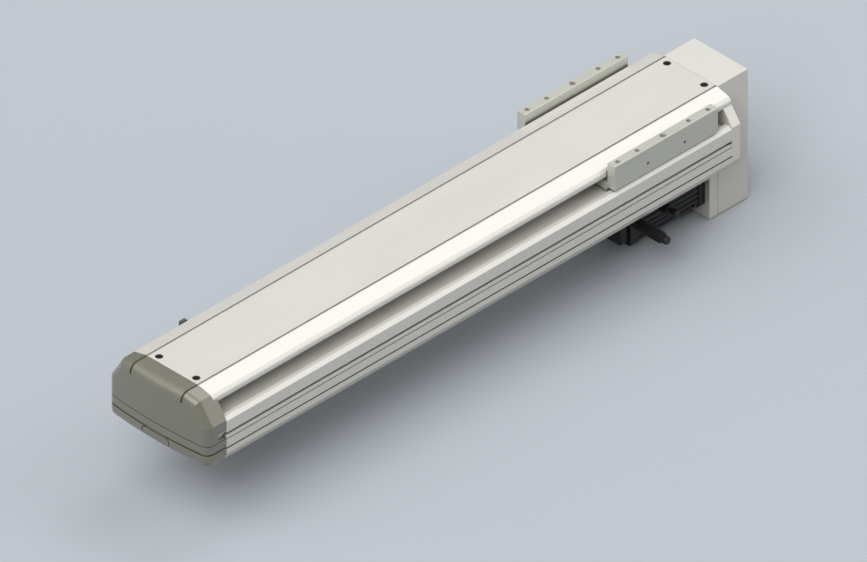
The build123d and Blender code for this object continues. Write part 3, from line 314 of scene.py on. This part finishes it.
def ground_steel(colours):
    # Ground bearing steel: bright, with fine grinding lines along the travel.
    tint = list(colours.steel)
    material, tree, shader = finish("ground_steel", tint, 1.0, 0.24)
    fine, broad = (0.8, 60, 0.8), (12, 40, 12)
    shades, gloss = (0.94, 1.03), (0.18, 0.32)
    surface(
        tree, shader, tint, fine, broad, shades, gloss, relief=0.01, edge=0.3, rub=0.05, painted_shade=0.3
    )
    return material


def zinc_plate(colours):
    # Zinc plated and passivated steel: slightly cloudy and pale.
    tint = list(colours.zinc)
    material, tree, shader = finish("zinc_plate", tint, 0.9, 0.34)
    fine, broad = (1.2, 1.2, 1.2), (5, 5, 5)
    shades, gloss = (0.88, 1.05), (0.28, 0.42)
    surface(
        tree, shader, tint, fine, broad, shades, gloss, relief=0.01, edge=0.3, rub=0.1, painted_shade=0.4
    )
    return material


def black_oxide_steel(colours):
    # Black oxide alloy steel: dark with an oily sheen, rubbed grey on its edges.
    tint = list(colours.oxide)
    material, tree, shader = finish("black_oxide_steel", tint, 0.7, 0.34)
    fine, broad = (0.5, 0.5, 0.5), (2.5, 2.5, 2.5)
    shades, gloss = (0.7, 1.35), (0.26, 0.42)
    surface(
        tree, shader, tint, fine, broad, shades, gloss, relief=0.01, edge=0.3, rub=2.5, painted_shade=0.6
    )
    return material


def black_powder_coat(colours):
    # Fine textured powder coat: almost black, with a soft orange peel of about 1 mm.
    tint = list(colours.motor)
    material, tree, shader = finish("black_powder_coat", tint, 0.0, 0.45, IOR=1.5)
    fine, broad = (1.1, 1.1, 1.1), (25, 25, 25)
    shades, gloss = (0.75, 1.25), (0.38, 0.52)
    surface(
        tree, shader, tint, fine, broad, shades, gloss, relief=0.06, edge=0.4, rub=1.0, painted_shade=0.5
    )
    return material


def moulded_black_plastic(colours):
    # Glass filled nylon: matt black with a faint mould texture.
    tint = list(colours.plastic)
    material, tree, shader = finish("moulded_black_plastic", tint, 0.0, 0.5, IOR=1.53)
    fine, broad = (0.8, 0.8, 0.8), (14, 14, 14)
    shades, gloss = (0.8, 1.2), (0.42, 0.56)
    surface(
        tree, shader, tint, fine, broad, shades, gloss, relief=0.04, edge=0.4, rub=0.8, painted_shade=0.5
    )
    return material


def moulded_rubber(colours):
    # Nitrile rubber and cable jacket: matt black with a dusty bloom.
    tint = list(colours.rubber)
    material, tree, shader = finish("moulded_rubber", tint, 0.0, 0.65, IOR=1.52)
    fine, broad = (0.9, 0.9, 0.9), (6, 6, 6)
    shades, gloss = (0.8, 1.35), (0.58, 0.72)
    surface(
        tree, shader, tint, fine, broad, shades, gloss, relief=0.03, edge=0.3, rub=0.6, painted_shade=0.4
    )
    return material


def sensor_plastic(colours):
    # Moulded PBT: dark grey and satin.
    tint = list(colours.sensor)
    material, tree, shader = finish("sensor_plastic", tint, 0.0, 0.42, IOR=1.55)
    fine, broad = (0.6, 0.6, 0.6), (5, 5, 5)
    shades, gloss = (0.9, 1.1), (0.36, 0.48)
    surface(
        tree, shader, tint, fine, broad, shades, gloss, relief=0.02, edge=0.3, rub=0.3, painted_shade=0.4
    )
    return material


def studio_floor(colours):
    # Rolled paper sweep: pale and matt where it is seen or mirrored, darker where it throws light
    # back, so that the underside and the sides of the object keep their shade.
    material, tree, shader = finish("studio_floor", list(colours.floor), 0.0, 0.8)
    ray = add_node(tree, "ShaderNodeLightPath").outputs
    seen = ray["Is Camera Ray"]
    for kind in ("Is Glossy Ray", "Is Transmission Ray"):
        seen = add_node(
            tree, "ShaderNodeMath", {0: seen, 1: ray[kind]}, operation="MAXIMUM"
        ).outputs["Value"]
    mix = add_node(
        tree,
        "ShaderNodeMix",
        {0: seen, 6: (*colours.bounce, 1), 7: (*colours.floor, 1)},
        data_type="RGBA",
    )
    tree.links.new(mix.outputs[2], shader.inputs["Base Color"])
    return material


FINISHES = (
    anodised_extruded_aluminium,
    bead_blasted_aluminium,
    milled_anodised_aluminium,
    milled_aluminium,
    moulded_abs,
    ground_steel,
    zinc_plate,
    black_oxide_steel,
    black_powder_coat,
    moulded_black_plastic,
    moulded_rubber,
    sensor_plastic,
    studio_floor,
)
SLOT_FINISH = {
    "body_aluminium": "anodised_extruded_aluminium",
    "ear_aluminium": "milled_anodised_aluminium",
    "cap_plastic": "moulded_abs",
    "block_aluminium": "milled_aluminium",
    "track_steel": "ground_steel",
    "bearing_steel": "ground_steel",
    "screw_steel": "ground_steel",
    "fastener_black": "black_oxide_steel",
    "fastener_zinc": "zinc_plate",
    "seal_rubber": "moulded_rubber",
    "cap_black": "moulded_black_plastic",
    "motor_black": "black_powder_coat",
    "motor_plastic": "moulded_black_plastic",
    "lead_black": "moulded_rubber",
    "pulley_aluminium": "milled_aluminium",
    "belt_rubber": "moulded_rubber",
    "sensor_plastic": "sensor_plastic",
}
NODE_FINISH = {
    "belt_housing": "bead_blasted_aluminium",
    "end_plate": "bead_blasted_aluminium",
}
# Knurl: how many ridges it has and how deep they are, as a share of the head's radius
RIDGES = 24
RIDGE_DEPTH = 0.02
# Screws: bevel of the tip as a share of the shank's radius, depth of the socket as a share of
# the head's height, and height of the rim round a flat head in millimetres
TIP_BEVEL = 0.35
SOCKET_DEPTH = 0.58
FLAT_SOCKET_DEPTH = 0.6
FLAT_RIM = 0.1
# Dome of a button head: where it starts as a share of the height, how wide it is on top as a
# share of the radius, and the turn of each of its rings
DOME_FOOT = 0.12
DOME_TOP = 0.62
DOME_TURNS = [math.pi / 2 * step / 6 for step in range(7)]


def places(node):
    """The lowest and highest corner of each loose solid of a CAD node, at rest."""
    shape = bmesh.new()
    shape.from_mesh(frame["nodes"][node].data)
    bmesh.ops.remove_doubles(shape, verts=shape.verts, dist=SAME_SPOT)
    left = set(shape.verts)
    boxes = []
    while left:
        group = [left.pop()]
        for vert in group:
            near = {edge.other_vert(vert) for edge in vert.link_edges} & left
            left -= near
            group.extend(near)
        spots = [vert.co for vert in group]
        boxes.append([[pick(spot[i] for spot in spots) for i in range(3)] for pick in (min, max)])
    shape.free()
    return sorted(boxes)


def round_form(radius, turn):
    """A circle."""
    return radius


def hexagon(radius, turn):
    """A hexagon with this distance to its corners."""
    sixth = math.pi / 3
    return radius * math.cos(sixth / 2) / math.cos(turn % sixth - sixth / 2)


def knurl(radius, turn):
    """A circle with fine ridges."""
    return radius * (1 - RIDGE_DEPTH + RIDGE_DEPTH * math.cos(RIDGES * turn))


# Rings of a head: share of its height, share of its radius and form
HEADS = {
    "cap": [
        (0, 0.94, round_form),
        (0.06, 1, round_form),
        (0.1, 1, knurl),
        (0.74, 1, knurl),
        (0.78, 1, round_form),
        (0.9, 0.97, round_form),
        (1, 0.86, round_form),
    ],
    "button": [
        (0, 0.94, round_form),
        *[
            (
                DOME_FOOT + (1 - DOME_FOOT) * math.sin(turn),
                DOME_TOP + (1 - DOME_TOP) * math.cos(turn),
                round_form,
            )
            for turn in DOME_TURNS
        ],
    ],
}
# Rings of a socket: share of its depth, further depth and radius as shares of its radius, form
SOCKET = (
    (0, 0, 1.14, round_form),
    (0, 0.1, 1, hexagon),
    (1, 0, 1, hexagon),
    (1, 0, 0.8, round_form),
    (1, 0.3, 0.05, round_form),
)


def lathe(name, rings, sides):
    """A closed mesh round Z. Each ring has a height, a radius and a form, in millimetres."""
    shape = bmesh.new()
    loops = []
    for height, radius, form in rings:
        loop = []
        for number in range(sides):
            turn = 2 * math.pi * number / sides
            reach = form(radius, turn) * MM
            spot = (reach * math.cos(turn), reach * math.sin(turn), height * MM)
            loop.append(shape.verts.new(spot))
        loops.append(loop)
    for low, high in zip(loops, loops[1:]):
        for number in range(sides):
            after = (number + 1) % sides
            shape.faces.new((low[number], low[after], high[after], high[number]))
    shape.faces.new(loops[0])
    shape.faces.new(loops[-1])
    bmesh.ops.recalc_face_normals(shape, faces=shape.faces)
    return plain_mesh(name, shape)


def plain_mesh(name, shape):
    """Turns a bmesh into a smooth mesh whose real edges stay sharp."""
    mesh = bpy.data.meshes.new(name)
    shape.to_mesh(mesh)
    shape.free()
    mesh.shade_smooth()
    mesh.set_sharp_from_angle(angle=SHARP_ANGLE)
    return mesh


def screw_rings(kind, head, height, shank, socket, run):
    """Rings of a screw whose head stands on Z = 0, from its tip up and down into its socket."""
    point = TIP_BEVEL * shank
    rings = [(-run, shank - point, round_form), (point - run, shank, round_form)]
    if kind == "flat":
        top, depth = 0, FLAT_SOCKET_DEPTH * height
        rings += [
            (-height, shank, round_form),
            (-FLAT_RIM, head, round_form),
            (0, head - FLAT_RIM / 2, round_form),
        ]
    else:
        top, depth = height, SOCKET_DEPTH * height
        rings.append((0, shank, round_form))
        rings += [(rise * height, share * head, form) for rise, share, form in HEADS[kind]]
    for sunk, further, share, form in SOCKET:
        rings.append((top - sunk * depth - further * socket, share * socket, form))
    return rings


def grown(context, name, tree, start, values):
    """Runs a node tree on a mesh and gives an object that holds the result as a plain mesh."""
    piece = bpy.data.objects.new(name, start or bpy.data.meshes.new(name))
    context.scene.collection.objects.link(piece)
    modifier = piece.modifiers.new(name, "NODES")
    modifier.node_group = tree
    for socket in tree.interface.items_tree:
        if socket.name in values:
            modifier[socket.identifier] = values[socket.name]
    seen = piece.evaluated_get(context.evaluated_depsgraph_get())
    result = bpy.data.meshes.new_from_object(seen)
    result.name = name
    result.materials.clear()
    result.materials.append(values["Finish"])
    result.polygons.foreach_set("material_index", [0] * len(result.polygons))
    piece.modifiers.remove(modifier)
    piece.data = result
    return piece


def new_tree(name, inputs):
    """A Geometry Nodes tree with named inputs: gives the tree and its input and output nodes."""
    tree = bpy.data.node_groups.new(name, "GeometryNodeTree")
    for label, kind in inputs:
        tree.interface.new_socket(label, in_out="INPUT", socket_type="NodeSocket" + kind)
    tree.interface.new_socket("Result", in_out="OUTPUT", socket_type="NodeSocketGeometry")
    return tree, add_node(tree, "NodeGroupInput"), add_node(tree, "NodeGroupOutput")


def dress(tree, geometry, material, result):
    """Ends a tree: makes its copies real and gives them their material."""
    real = add_node(tree, "GeometryNodeRealizeInstances", {"Geometry": geometry})
    dressed = add_node(
        tree,
        "GeometryNodeSetMaterial",
        {"Geometry": real.outputs["Geometry"], "Material": material},
    )
    tree.links.new(dressed.outputs["Geometry"], result.inputs["Result"])


def rows_tree():
    """A tree that sets copies of one item in a row at each start point."""
    inputs = (
        ("Starts", "Geometry"),
        ("Count", "Int"),
        ("Step", "Vector"),
        ("Item", "Object"),
        ("Turn", "Vector"),
        ("Finish", "Material"),
    )
    tree, given, result = new_tree("rows_of_items", inputs)
    take = given.outputs
    line = add_node(tree, "GeometryNodeMeshLine", {"Count": take["Count"], "Offset": take["Step"]})
    rows = add_node(
        tree,
        "GeometryNodeInstanceOnPoints",
        {"Points": take["Starts"], "Instance": line.outputs["Mesh"]},
    )
    points = add_node(
        tree, "GeometryNodeRealizeInstances", {"Geometry": rows.outputs["Instances"]}
    )
    item = add_node(tree, "GeometryNodeObjectInfo", {"Object": take["Item"]})
    copies = add_node(
        tree,
        "GeometryNodeInstanceOnPoints",
        {
            "Points": points.outputs["Geometry"],
            "Instance": item.outputs["Geometry"],
            "Rotation": take["Turn"],
        },
    )
    dress(tree, copies.outputs["Instances"], take["Finish"], result)
    return tree


def rows_of(context, name, item, starts, way, count, step, finish):
    """Sets rows of one mesh at the start points, with its Z axis turned to a direction."""
    sample = bpy.data.objects.new(name + "_item", item)
    context.scene.collection.objects.link(sample)
    seeds = bpy.data.meshes.new(name)
    seeds.from_pydata(starts, [], [])
    turn = Vector((0, 0, 1)).rotation_difference(Vector(way)).to_euler()
    values = {
        "Count": count,
        "Step": list(step),
        "Item": sample,
        "Turn": list(turn),
        "Finish": bpy.data.materials[finish],
    }
    piece = grown(context, name, bpy.data.node_groups["rows_of_items"], seeds, values)
    bpy.data.objects.remove(sample)
    return piece


def helix_tree():
    """A tree that wraps a grid round Y as a rod with one helical ball groove."""
    inputs = (
        ("Radius", "Float"),
        ("Lead", "Float"),
        ("Groove Radius", "Float"),
        ("Groove Rise", "Float"),
        ("Start", "Float"),
        ("End", "Float"),
        ("Axis Height", "Float"),
        ("Rows per Turn", "Int"),
        ("Sides", "Int"),
        ("Finish", "Material"),
    )
    tree, given, result = new_tree("grooved_rod", inputs)
    take = given.outputs

    math_node = "ShaderNodeMath"
    start, end, lead, sides = take["Start"], take["End"], take["Lead"], take["Sides"]
    run = add_node(tree, math_node, {0: end, 1: start}, operation="SUBTRACT").outputs[0]
    step = add_node(
        tree, math_node, {0: lead, 1: take["Rows per Turn"]}, operation="DIVIDE"
    ).outputs[0]
    # One turn more than the rod, so that the slanted rows reach both ends, and two end rows
    longer = add_node(tree, math_node, {0: run, 1: lead}, operation="ADD").outputs[0]
    steps = add_node(tree, math_node, {0: longer, 1: step}, operation="DIVIDE").outputs[0]
    whole = add_node(tree, math_node, {0: steps}, operation="CEIL").outputs[0]
    rows = add_node(tree, math_node, {0: whole, 1: 3}, operation="ADD").outputs[0]
    columns = add_node(tree, math_node, {0: sides, 1: 1}, operation="ADD").outputs[0]
    grid = add_node(
        tree,
        "GeometryNodeMeshGrid",
        {"Size X": 1, "Size Y": 1, "Vertices X": columns, "Vertices Y": rows},
    )
    where = add_node(tree, "GeometryNodeInputPosition").outputs["Position"]
    spot = add_node(tree, "ShaderNodeSeparateXYZ", {"Vector": where}).outputs
    part_turn = add_node(tree, math_node, {0: spot["X"], 1: 0.5}, operation="ADD").outputs[0]
    share = add_node(tree, math_node, {0: spot["Y"], 1: 0.5}, operation="ADD").outputs[0]
    last = add_node(tree, math_node, {0: rows, 1: 1}, operation="SUBTRACT").outputs[0]
    number = add_node(tree, math_node, {0: share, 1: last}, operation="MULTIPLY").outputs[0]
    row = add_node(tree, math_node, {0: number}, operation="ROUND").outputs[0]
    # Each row climbs by one lead in a turn and is cut off square at both ends of the rod
    climb = add_node(tree, math_node, {0: lead, 1: part_turn}, operation="MULTIPLY").outputs[0]
    before = add_node(tree, math_node, {0: row, 1: 1}, operation="SUBTRACT").outputs[0]
    offset = add_node(
        tree, math_node, {0: before, 1: step, 2: climb}, operation="MULTIPLY_ADD"
    ).outputs[0]
    low = add_node(tree, math_node, {0: start, 1: lead}, operation="SUBTRACT").outputs[0]
    slanted = add_node(tree, math_node, {0: low, 1: offset}, operation="ADD").outputs[0]
    raised = add_node(tree, math_node, {0: slanted, 1: start}, operation="MAXIMUM").outputs[0]
    along = add_node(tree, math_node, {0: raised, 1: end}, operation="MINIMUM").outputs[0]
    # Distance from the middle of the groove, measured along the rod
    travelled = add_node(tree, math_node, {0: along, 1: start}, operation="SUBTRACT").outputs[0]
    left = add_node(tree, math_node, {0: travelled, 1: climb}, operation="SUBTRACT").outputs[0]
    turns = add_node(tree, math_node, {0: left, 1: lead}, operation="DIVIDE").outputs[0]
    shifted = add_node(tree, math_node, {0: turns, 1: 0.5}, operation="ADD").outputs[0]
    phase = add_node(tree, math_node, {0: shifted}, operation="FRACT").outputs[0]
    centred = add_node(tree, math_node, {0: phase, 1: 0.5}, operation="SUBTRACT").outputs[0]
    off = add_node(tree, math_node, {0: centred, 1: lead}, operation="MULTIPLY").outputs[0]
    # The groove is a round channel whose centre stands off the rod's surface
    ball = take["Groove Radius"]
    ball_square = add_node(tree, math_node, {0: ball, 1: ball}, operation="MULTIPLY").outputs[0]
    off_square = add_node(tree, math_node, {0: off, 1: off}, operation="MULTIPLY").outputs[0]
    rest = add_node(
        tree, math_node, {0: ball_square, 1: off_square}, operation="SUBTRACT"
    ).outputs[0]
    real = add_node(tree, math_node, {0: rest, 1: 0}, operation="MAXIMUM").outputs[0]
    chord = add_node(tree, math_node, {0: real}, operation="SQRT").outputs[0]
    depth = add_node(
        tree, math_node, {0: chord, 1: take["Groove Rise"]}, operation="SUBTRACT"
    ).outputs[0]
    cut = add_node(tree, math_node, {0: depth, 1: 0}, operation="MAXIMUM").outputs[0]
    thick = add_node(
        tree, math_node, {0: take["Radius"], 1: cut}, operation="SUBTRACT"
    ).outputs[0]
    # The first and the last row shrink to a point, which closes the ends
    after_first = add_node(tree, math_node, {0: row, 1: 0.5}, operation="GREATER_THAN").outputs[0]
    near_last = add_node(tree, math_node, {0: last, 1: 0.5}, operation="SUBTRACT").outputs[0]
    before_last = add_node(
        tree, math_node, {0: row, 1: near_last}, operation="LESS_THAN"
    ).outputs[0]
    inner = add_node(
        tree, math_node, {0: after_first, 1: before_last}, operation="MULTIPLY"
    ).outputs[0]
    reach = add_node(tree, math_node, {0: thick, 1: inner}, operation="MULTIPLY").outputs[0]
    angle = add_node(
        tree, math_node, {0: part_turn, 1: 2 * math.pi}, operation="MULTIPLY"
    ).outputs[0]
    sine = add_node(tree, math_node, {0: angle}, operation="SINE").outputs[0]
    cosine = add_node(tree, math_node, {0: angle}, operation="COSINE").outputs[0]
    aside = add_node(tree, math_node, {0: reach, 1: sine}, operation="MULTIPLY").outputs[0]
    aloft = add_node(
        tree, math_node, {0: reach, 1: cosine, 2: take["Axis Height"]}, operation="MULTIPLY_ADD"
    ).outputs[0]
    place = add_node(tree, "ShaderNodeCombineXYZ", {"X": aside, "Y": along, "Z": aloft})
    wrapped = add_node(
        tree,
        "GeometryNodeSetPosition",
        {"Geometry": grid.outputs["Mesh"], "Position": place.outputs["Vector"]},
    )
    closed = add_node(
        tree,
        "GeometryNodeMergeByDistance",
        {"Geometry": wrapped.outputs["Geometry"], "Distance": SEAM_WIDTH},
    )
    dress(tree, closed.outputs["Geometry"], take["Finish"], result)
    return tree


def adopt(piece, body, slot, *nodes):
    """Ties a piece to its body and hides the CAD nodes that it stands for. The slot is not used.
    """
    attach(piece, body)
    if nodes:
        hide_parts(*nodes)


# Screws of each CAD node: kind, direction of the head, then head radius and height, shank
# radius, socket radius and shank length in millimetres, and the body that carries them
SCREWS = {
    "cover_screws": ("button", (0, 0, 1), (3.75, 1.7, 1.5, 1.0, 9.0), "base"),
    "cap_screws": ("flat", (0, 0, -1), (4.0, 2.3, 2.0, 1.25, 9.0), "base"),
    "front_block_screws": ("cap", (0, -1, 0), (4.25, 5.0, 2.5, 2.0, 24.0), "base"),
    "bearing_block_screws": ("cap", (0, -1, 0), (3.5, 4.0, 2.0, 1.5, 20.0), "base"),
    "end_plate_screws": ("cap", (0, 1, 0), (4.25, 5.0, 2.5, 2.0, 20.0), "base"),
    "housing_screws": ("cap", (0, 1, 0), (3.5, 4.0, 2.0, 1.5, 42.0), "base"),
    "motor_screws": ("cap", (0, -1, 0), (4.25, 5.0, 2.5, 2.0, 18.0), "base"),
    "sensor_screws": ("cap", (-1, 0, 0), (2.75, 3.0, 1.5, 1.25, 5.0), "base"),
    "nut_screws": ("cap", (0, -1, 0), (3.5, 4.0, 2.0, 1.5, 12.0), "carriage"),
    "ear_screws": ("cap", (0, 0, 1), (3.5, 4.0, 2.0, 1.5, 12.0), "carriage"),
    "target_screws": ("button", (-1, 0, 0), (3.75, 1.7, 1.5, 1.0, 6.0), "carriage"),
}
# Ball screw in millimetres: both ends of its thread along Y, then its journals
THREAD_START = -343.7
THREAD_END = 326.5
JOURNAL_RADIUS = 5
SEAT_RADIUS = 6
SEAT_LENGTH = 30.0
JOURNAL_BEVEL = 0.5
# Radius of a ring of points in the flat front end of the ball screw
END_RING_RADIUS = 1.2
# Rows of balls in millimetres: distance from the module's middle, and heights
BALLS_ASIDE = 27.5
BALL_HEIGHTS = (24.5, 32.5)
# Lead outlets with a ribbed boot: X of the first rib and of the boot's end in millimetres
BOOTS = {"power_lead_outlet": (28.5, 43.5), "encoder_lead_outlet": (29.5, 69.5)}
# Rings of a rib in millimetres: distance along the lead, and rise over it
RIB = ((-0.8, -0.2), (-0.5, 0.55), (0.5, 0.55), (0.8, -0.2))
# Floor: half its side in metres, and the gap under the lowest piece
FLOOR_HALF = 9.0
FLOOR_GAP = 1.0 * MM
# Lamps: name, direction to the lamp, power, and how soft it is in degrees
LAMPS = (
    ("key", (0.05, -0.48, 0.87), 1.22, 50),
    ("top", (0.05, 0.0, 1.0), 0.88, 100),
    ("left", (-0.58, -0.58, 0.58), 0.5, 50),
    ("right", (0.36, -0.66, 0.66), 1.08, 30),
    ("back", (-0.1, 0.58, 0.81), 0.38, 26),
    ("back_right", (0.58, 0.58, 0.58), 0.38, 36),
    ("edge_right", (0.8, 0.58, 0.16), 0.2, 20),
)
SKY_COLOUR = (1.0, 0.99, 0.975, 1)
SKY_STRENGTH = 0.13
# View: point in the middle of the picture, and how far off the camera stands and sees in metres
VIEW_CENTRE = Vector((142.5, -137.5, 145.5)) * MM
VIEW_DISTANCE = 2.5
VIEW_DEPTH = 20


class MODULE_OT_finishes(bpy.types.Operator):
    """Make every finish and put it on the CAD nodes"""

    bl_idname = "linear_module.finishes"
    bl_label = "Finishes"

    def execute(self, context):
        colours = context.scene.module_colours
        for make in FINISHES:
            make(colours)
        for row in frame["record"]["subparts"]:
            node, slot = row["node"], row["material_slot"]
            name = NODE_FINISH.get(node, SLOT_FINISH[slot])
            shown = frame["nodes"][node]
            shown.data.materials.clear()
            shown.data.materials.append(bpy.data.materials[name])
        return {"FINISHED"}


class MODULE_OT_screws(bpy.types.Operator):
    """Put a detailed screw in the place of every CAD screw"""

    bl_idname = "linear_module.screws"
    bl_label = "Screws"

    def execute(self, context):
        rows_tree()
        sides = context.scene.module_sizes.sides
        slots = {row["node"]: row["material_slot"] for row in frame["record"]["subparts"]}
        for node, (kind, way, size, body) in SCREWS.items():
            head = (0 if kind == "flat" else size[1]) * MM
            starts = []
            for low, high in places(node):
                seat = [(a + b) / 2 for a, b in zip(low, high)]
                for axis in range(3):
                    if way[axis] > 0:
                        seat[axis] = high[axis] - head
                    if way[axis] < 0:
                        seat[axis] = low[axis] + head
                starts.append(seat)
            item = lathe(node + "_one", screw_rings(kind, *size), sides)
            finish = SLOT_FINISH[slots[node]]
            piece = rows_of(context, node + "_detailed", item, starts, way, 1, (0, 0, 0), finish)
            adopt(piece, body, slots[node], node)
        return {"FINISHED"}


class MODULE_OT_ball_screw(bpy.types.Operator):
    """Cut the helical ball groove and turn the journals of the ball screw"""

    bl_idname = "linear_module.ball_screw"
    bl_label = "Ball screw"

    def execute(self, context):
        sizes = context.scene.module_sizes
        low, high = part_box("ball_screw")
        height = (low[2] + high[2]) / 2
        start, end = THREAD_START * MM, THREAD_END * MM
        values = {
            "Radius": sizes.screw_radius,
            "Lead": sizes.screw_lead,
            "Groove Radius": sizes.groove_radius,
            "Groove Rise": sizes.groove_rise,
            "Start": start,
            "End": end,
            "Axis Height": height,
            "Rows per Turn": sizes.groove_rows,
            "Sides": sizes.sides // 2,
            "Finish": bpy.data.materials["ground_steel"],
        }
        piece = grown(context, "ball_screw_grooved", helix_tree(), None, values)
        shape = bmesh.new()
        shape.from_mesh(piece.data)
        bmesh.ops.recalc_face_normals(shape, faces=shape.faces)
        # Journals: distance along Y from the thread's end and radius, in millimetres
        reach_front = (start - low[1]) / MM
        reach_rear = (high[1] - end) / MM
        tip_radius = JOURNAL_RADIUS - JOURNAL_BEVEL
        front = (
            (0, JOURNAL_RADIUS),
            (reach_front - JOURNAL_BEVEL, JOURNAL_RADIUS),
            (reach_front, tip_radius),
            (reach_front, END_RING_RADIUS),
        )
        rear = (
            (0, SEAT_RADIUS),
            (SEAT_LENGTH, SEAT_RADIUS),
            (SEAT_LENGTH + JOURNAL_BEVEL, SEAT_RADIUS - JOURNAL_BEVEL),
            (SEAT_LENGTH + JOURNAL_BEVEL, JOURNAL_RADIUS),
            (reach_rear - JOURNAL_BEVEL, JOURNAL_RADIUS),
            (reach_rear, tip_radius),
        )
        for way, origin, profile in ((-1, start, front), (1, end, rear)):
            rings = [(run, radius, round_form) for run, radius in profile]
            stub = lathe("journal", rings, sizes.sides)
            turn = Matrix.Rotation(-way * math.pi / 2, 4, "X")
            stub.transform(Matrix.Translation((0, origin, height)) @ turn)
            shape.from_mesh(stub)
            bpy.data.meshes.remove(stub)
        old = piece.data
        piece.data = plain_mesh("ball_screw_grooved", shape)
        piece.data.materials.append(bpy.data.materials["ground_steel"])
        bpy.data.meshes.remove(old)
        adopt(piece, "screw", "screw_steel", "ball_screw")
        return {"FINISHED"}


class MODULE_OT_balls(bpy.types.Operator):
    """Lay the rows of balls between the tracks and the carriage block"""

    bl_idname = "linear_module.balls"
    bl_label = "Balls"

    def execute(self, context):
        sizes = context.scene.module_sizes
        shape = bmesh.new()
        bmesh.ops.create_icosphere(shape, subdivisions=2, radius=sizes.ball_radius)
        item = plain_mesh("ball", shape)
        low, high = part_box("carriage_block")
        middle = (low[1] + high[1]) / 2
        count = int((high[1] - low[1]) / sizes.ball_pitch)
        first = middle - (count - 1) * sizes.ball_pitch / 2
        across = (-BALLS_ASIDE, BALLS_ASIDE)
        starts = [(x * MM, first, z * MM) for x in across for z in BALL_HEIGHTS]
        up, step = (0, 0, 1), (0, sizes.ball_pitch, 0)
        piece = rows_of(context, "track_balls", item, starts, up, count, step, "ground_steel")
        adopt(piece, "carriage", "bearing_steel")
        return {"FINISHED"}


class MODULE_OT_boots(bpy.types.Operator):
    """Put ribs round the two lead outlets, as a moulded boot has"""

    bl_idname = "linear_module.boots"
    bl_label = "Lead boots"

    def execute(self, context):
        sizes = context.scene.module_sizes
        for node, (first, end) in BOOTS.items():
            low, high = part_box(node)
            radius = (high[2] - low[2]) / 2 / MM
            rings = [(run, radius + rise, round_form) for run, rise in RIB]
            item = lathe(node + "_rib", rings, sizes.sides)
            spot = (first * MM, (low[1] + high[1]) / 2, (low[2] + high[2]) / 2)
            count = int((end - first) * MM / sizes.rib_pitch) + 1
            step = (sizes.rib_pitch, 0, 0)
            name = node.replace("outlet", "ribs")
            piece = rows_of(context, name, item, [spot], (1, 0, 0), count, step, "moulded_rubber")
            adopt(piece, "base", "lead_black")
        return {"FINISHED"}


class MODULE_OT_stage(bpy.types.Operator):
    """Lay the floor, hang the lamps and set the camera"""

    bl_idname = "linear_module.stage"
    bl_label = "Stage"

    def execute(self, context):
        scene = context.scene
        low = CAD_BOX[0][2] - FLOOR_GAP
        half = FLOOR_HALF
        mesh = bpy.data.meshes.new("floor")
        corners = [(-half, -half, low), (half, -half, low), (half, half, low), (-half, half, low)]
        mesh.from_pydata(corners, [], [(0, 1, 2, 3)])
        floor = bpy.data.objects.new("floor", mesh)
        scene.collection.objects.link(floor)
        mesh.materials.append(bpy.data.materials["studio_floor"])
        for name, way, power, angle in LAMPS:
            lamp = bpy.data.lights.new(name, "SUN")
            lamp.energy = power
            lamp.angle = math.radians(angle)
            hung = bpy.data.objects.new(name, lamp)
            hung.rotation_euler = Vector(way).to_track_quat("Z", "Y").to_euler()
            scene.collection.objects.link(hung)
        world = bpy.data.worlds.new("studio")
        world.use_nodes = True
        sky = world.node_tree.nodes["Background"]
        sky.inputs["Color"].default_value = SKY_COLOUR
        sky.inputs["Strength"].default_value = SKY_STRENGTH
        scene.world = world
        # Isometric view along the photograph's direction, without perspective
        right = Vector((math.sqrt(0.5), math.sqrt(0.5), 0))
        back = Vector((1, -1, 1)).normalized()
        up = back.cross(right)
        camera = bpy.data.cameras.new("camera")
        camera.type = "ORTHO"
        camera.ortho_scale = scene.module_sizes.frame_width
        camera.clip_end = VIEW_DEPTH
        shot = bpy.data.objects.new("camera", camera)
        turn = Matrix((right, up, back)).transposed()
        shot.matrix_world = Matrix.Translation(VIEW_CENTRE + back * VIEW_DISTANCE) @ turn.to_4x4()
        scene.collection.objects.link(shot)
        scene.camera = shot
        scene.view_settings.view_transform = "Standard"
        return {"FINISHED"}


class MODULE_PT_panel(bpy.types.Panel):
    """Lists the steps and the values that they use"""

    bl_idname = "MODULE_PT_panel"
    bl_label = "Linear module"
    bl_space_type = "VIEW_3D"
    bl_region_type = "UI"
    bl_category = "Linear module"

    def draw(self, context):
        for group in (context.scene.module_sizes, context.scene.module_colours):
            box = self.layout.box()
            for name in group.__annotations__:
                box.prop(group, name)
        for step in STEPS:
            self.layout.operator(step.bl_idname)


STEPS = (
    MODULE_OT_finishes,
    MODULE_OT_screws,
    MODULE_OT_ball_screw,
    MODULE_OT_balls,
    MODULE_OT_boots,
    MODULE_OT_stage,
)
CLASSES = (ModuleColours, ModuleSizes, *STEPS, MODULE_PT_panel)


def register():
    for item in CLASSES:
        bpy.utils.register_class(item)
    bpy.types.Scene.module_colours = bpy.props.PointerProperty(type=ModuleColours)
    bpy.types.Scene.module_sizes = bpy.props.PointerProperty(type=ModuleSizes)


def unregister():
    del bpy.types.Scene.module_sizes
    del bpy.types.Scene.module_colours
    for item in reversed(CLASSES):
        bpy.utils.unregister_class(item)


def main():
    register()
    for step in STEPS:
        area, name = step.bl_idname.split(".")
        getattr(getattr(bpy.ops, area), name)()


if __name__ == "__main__":
    main()
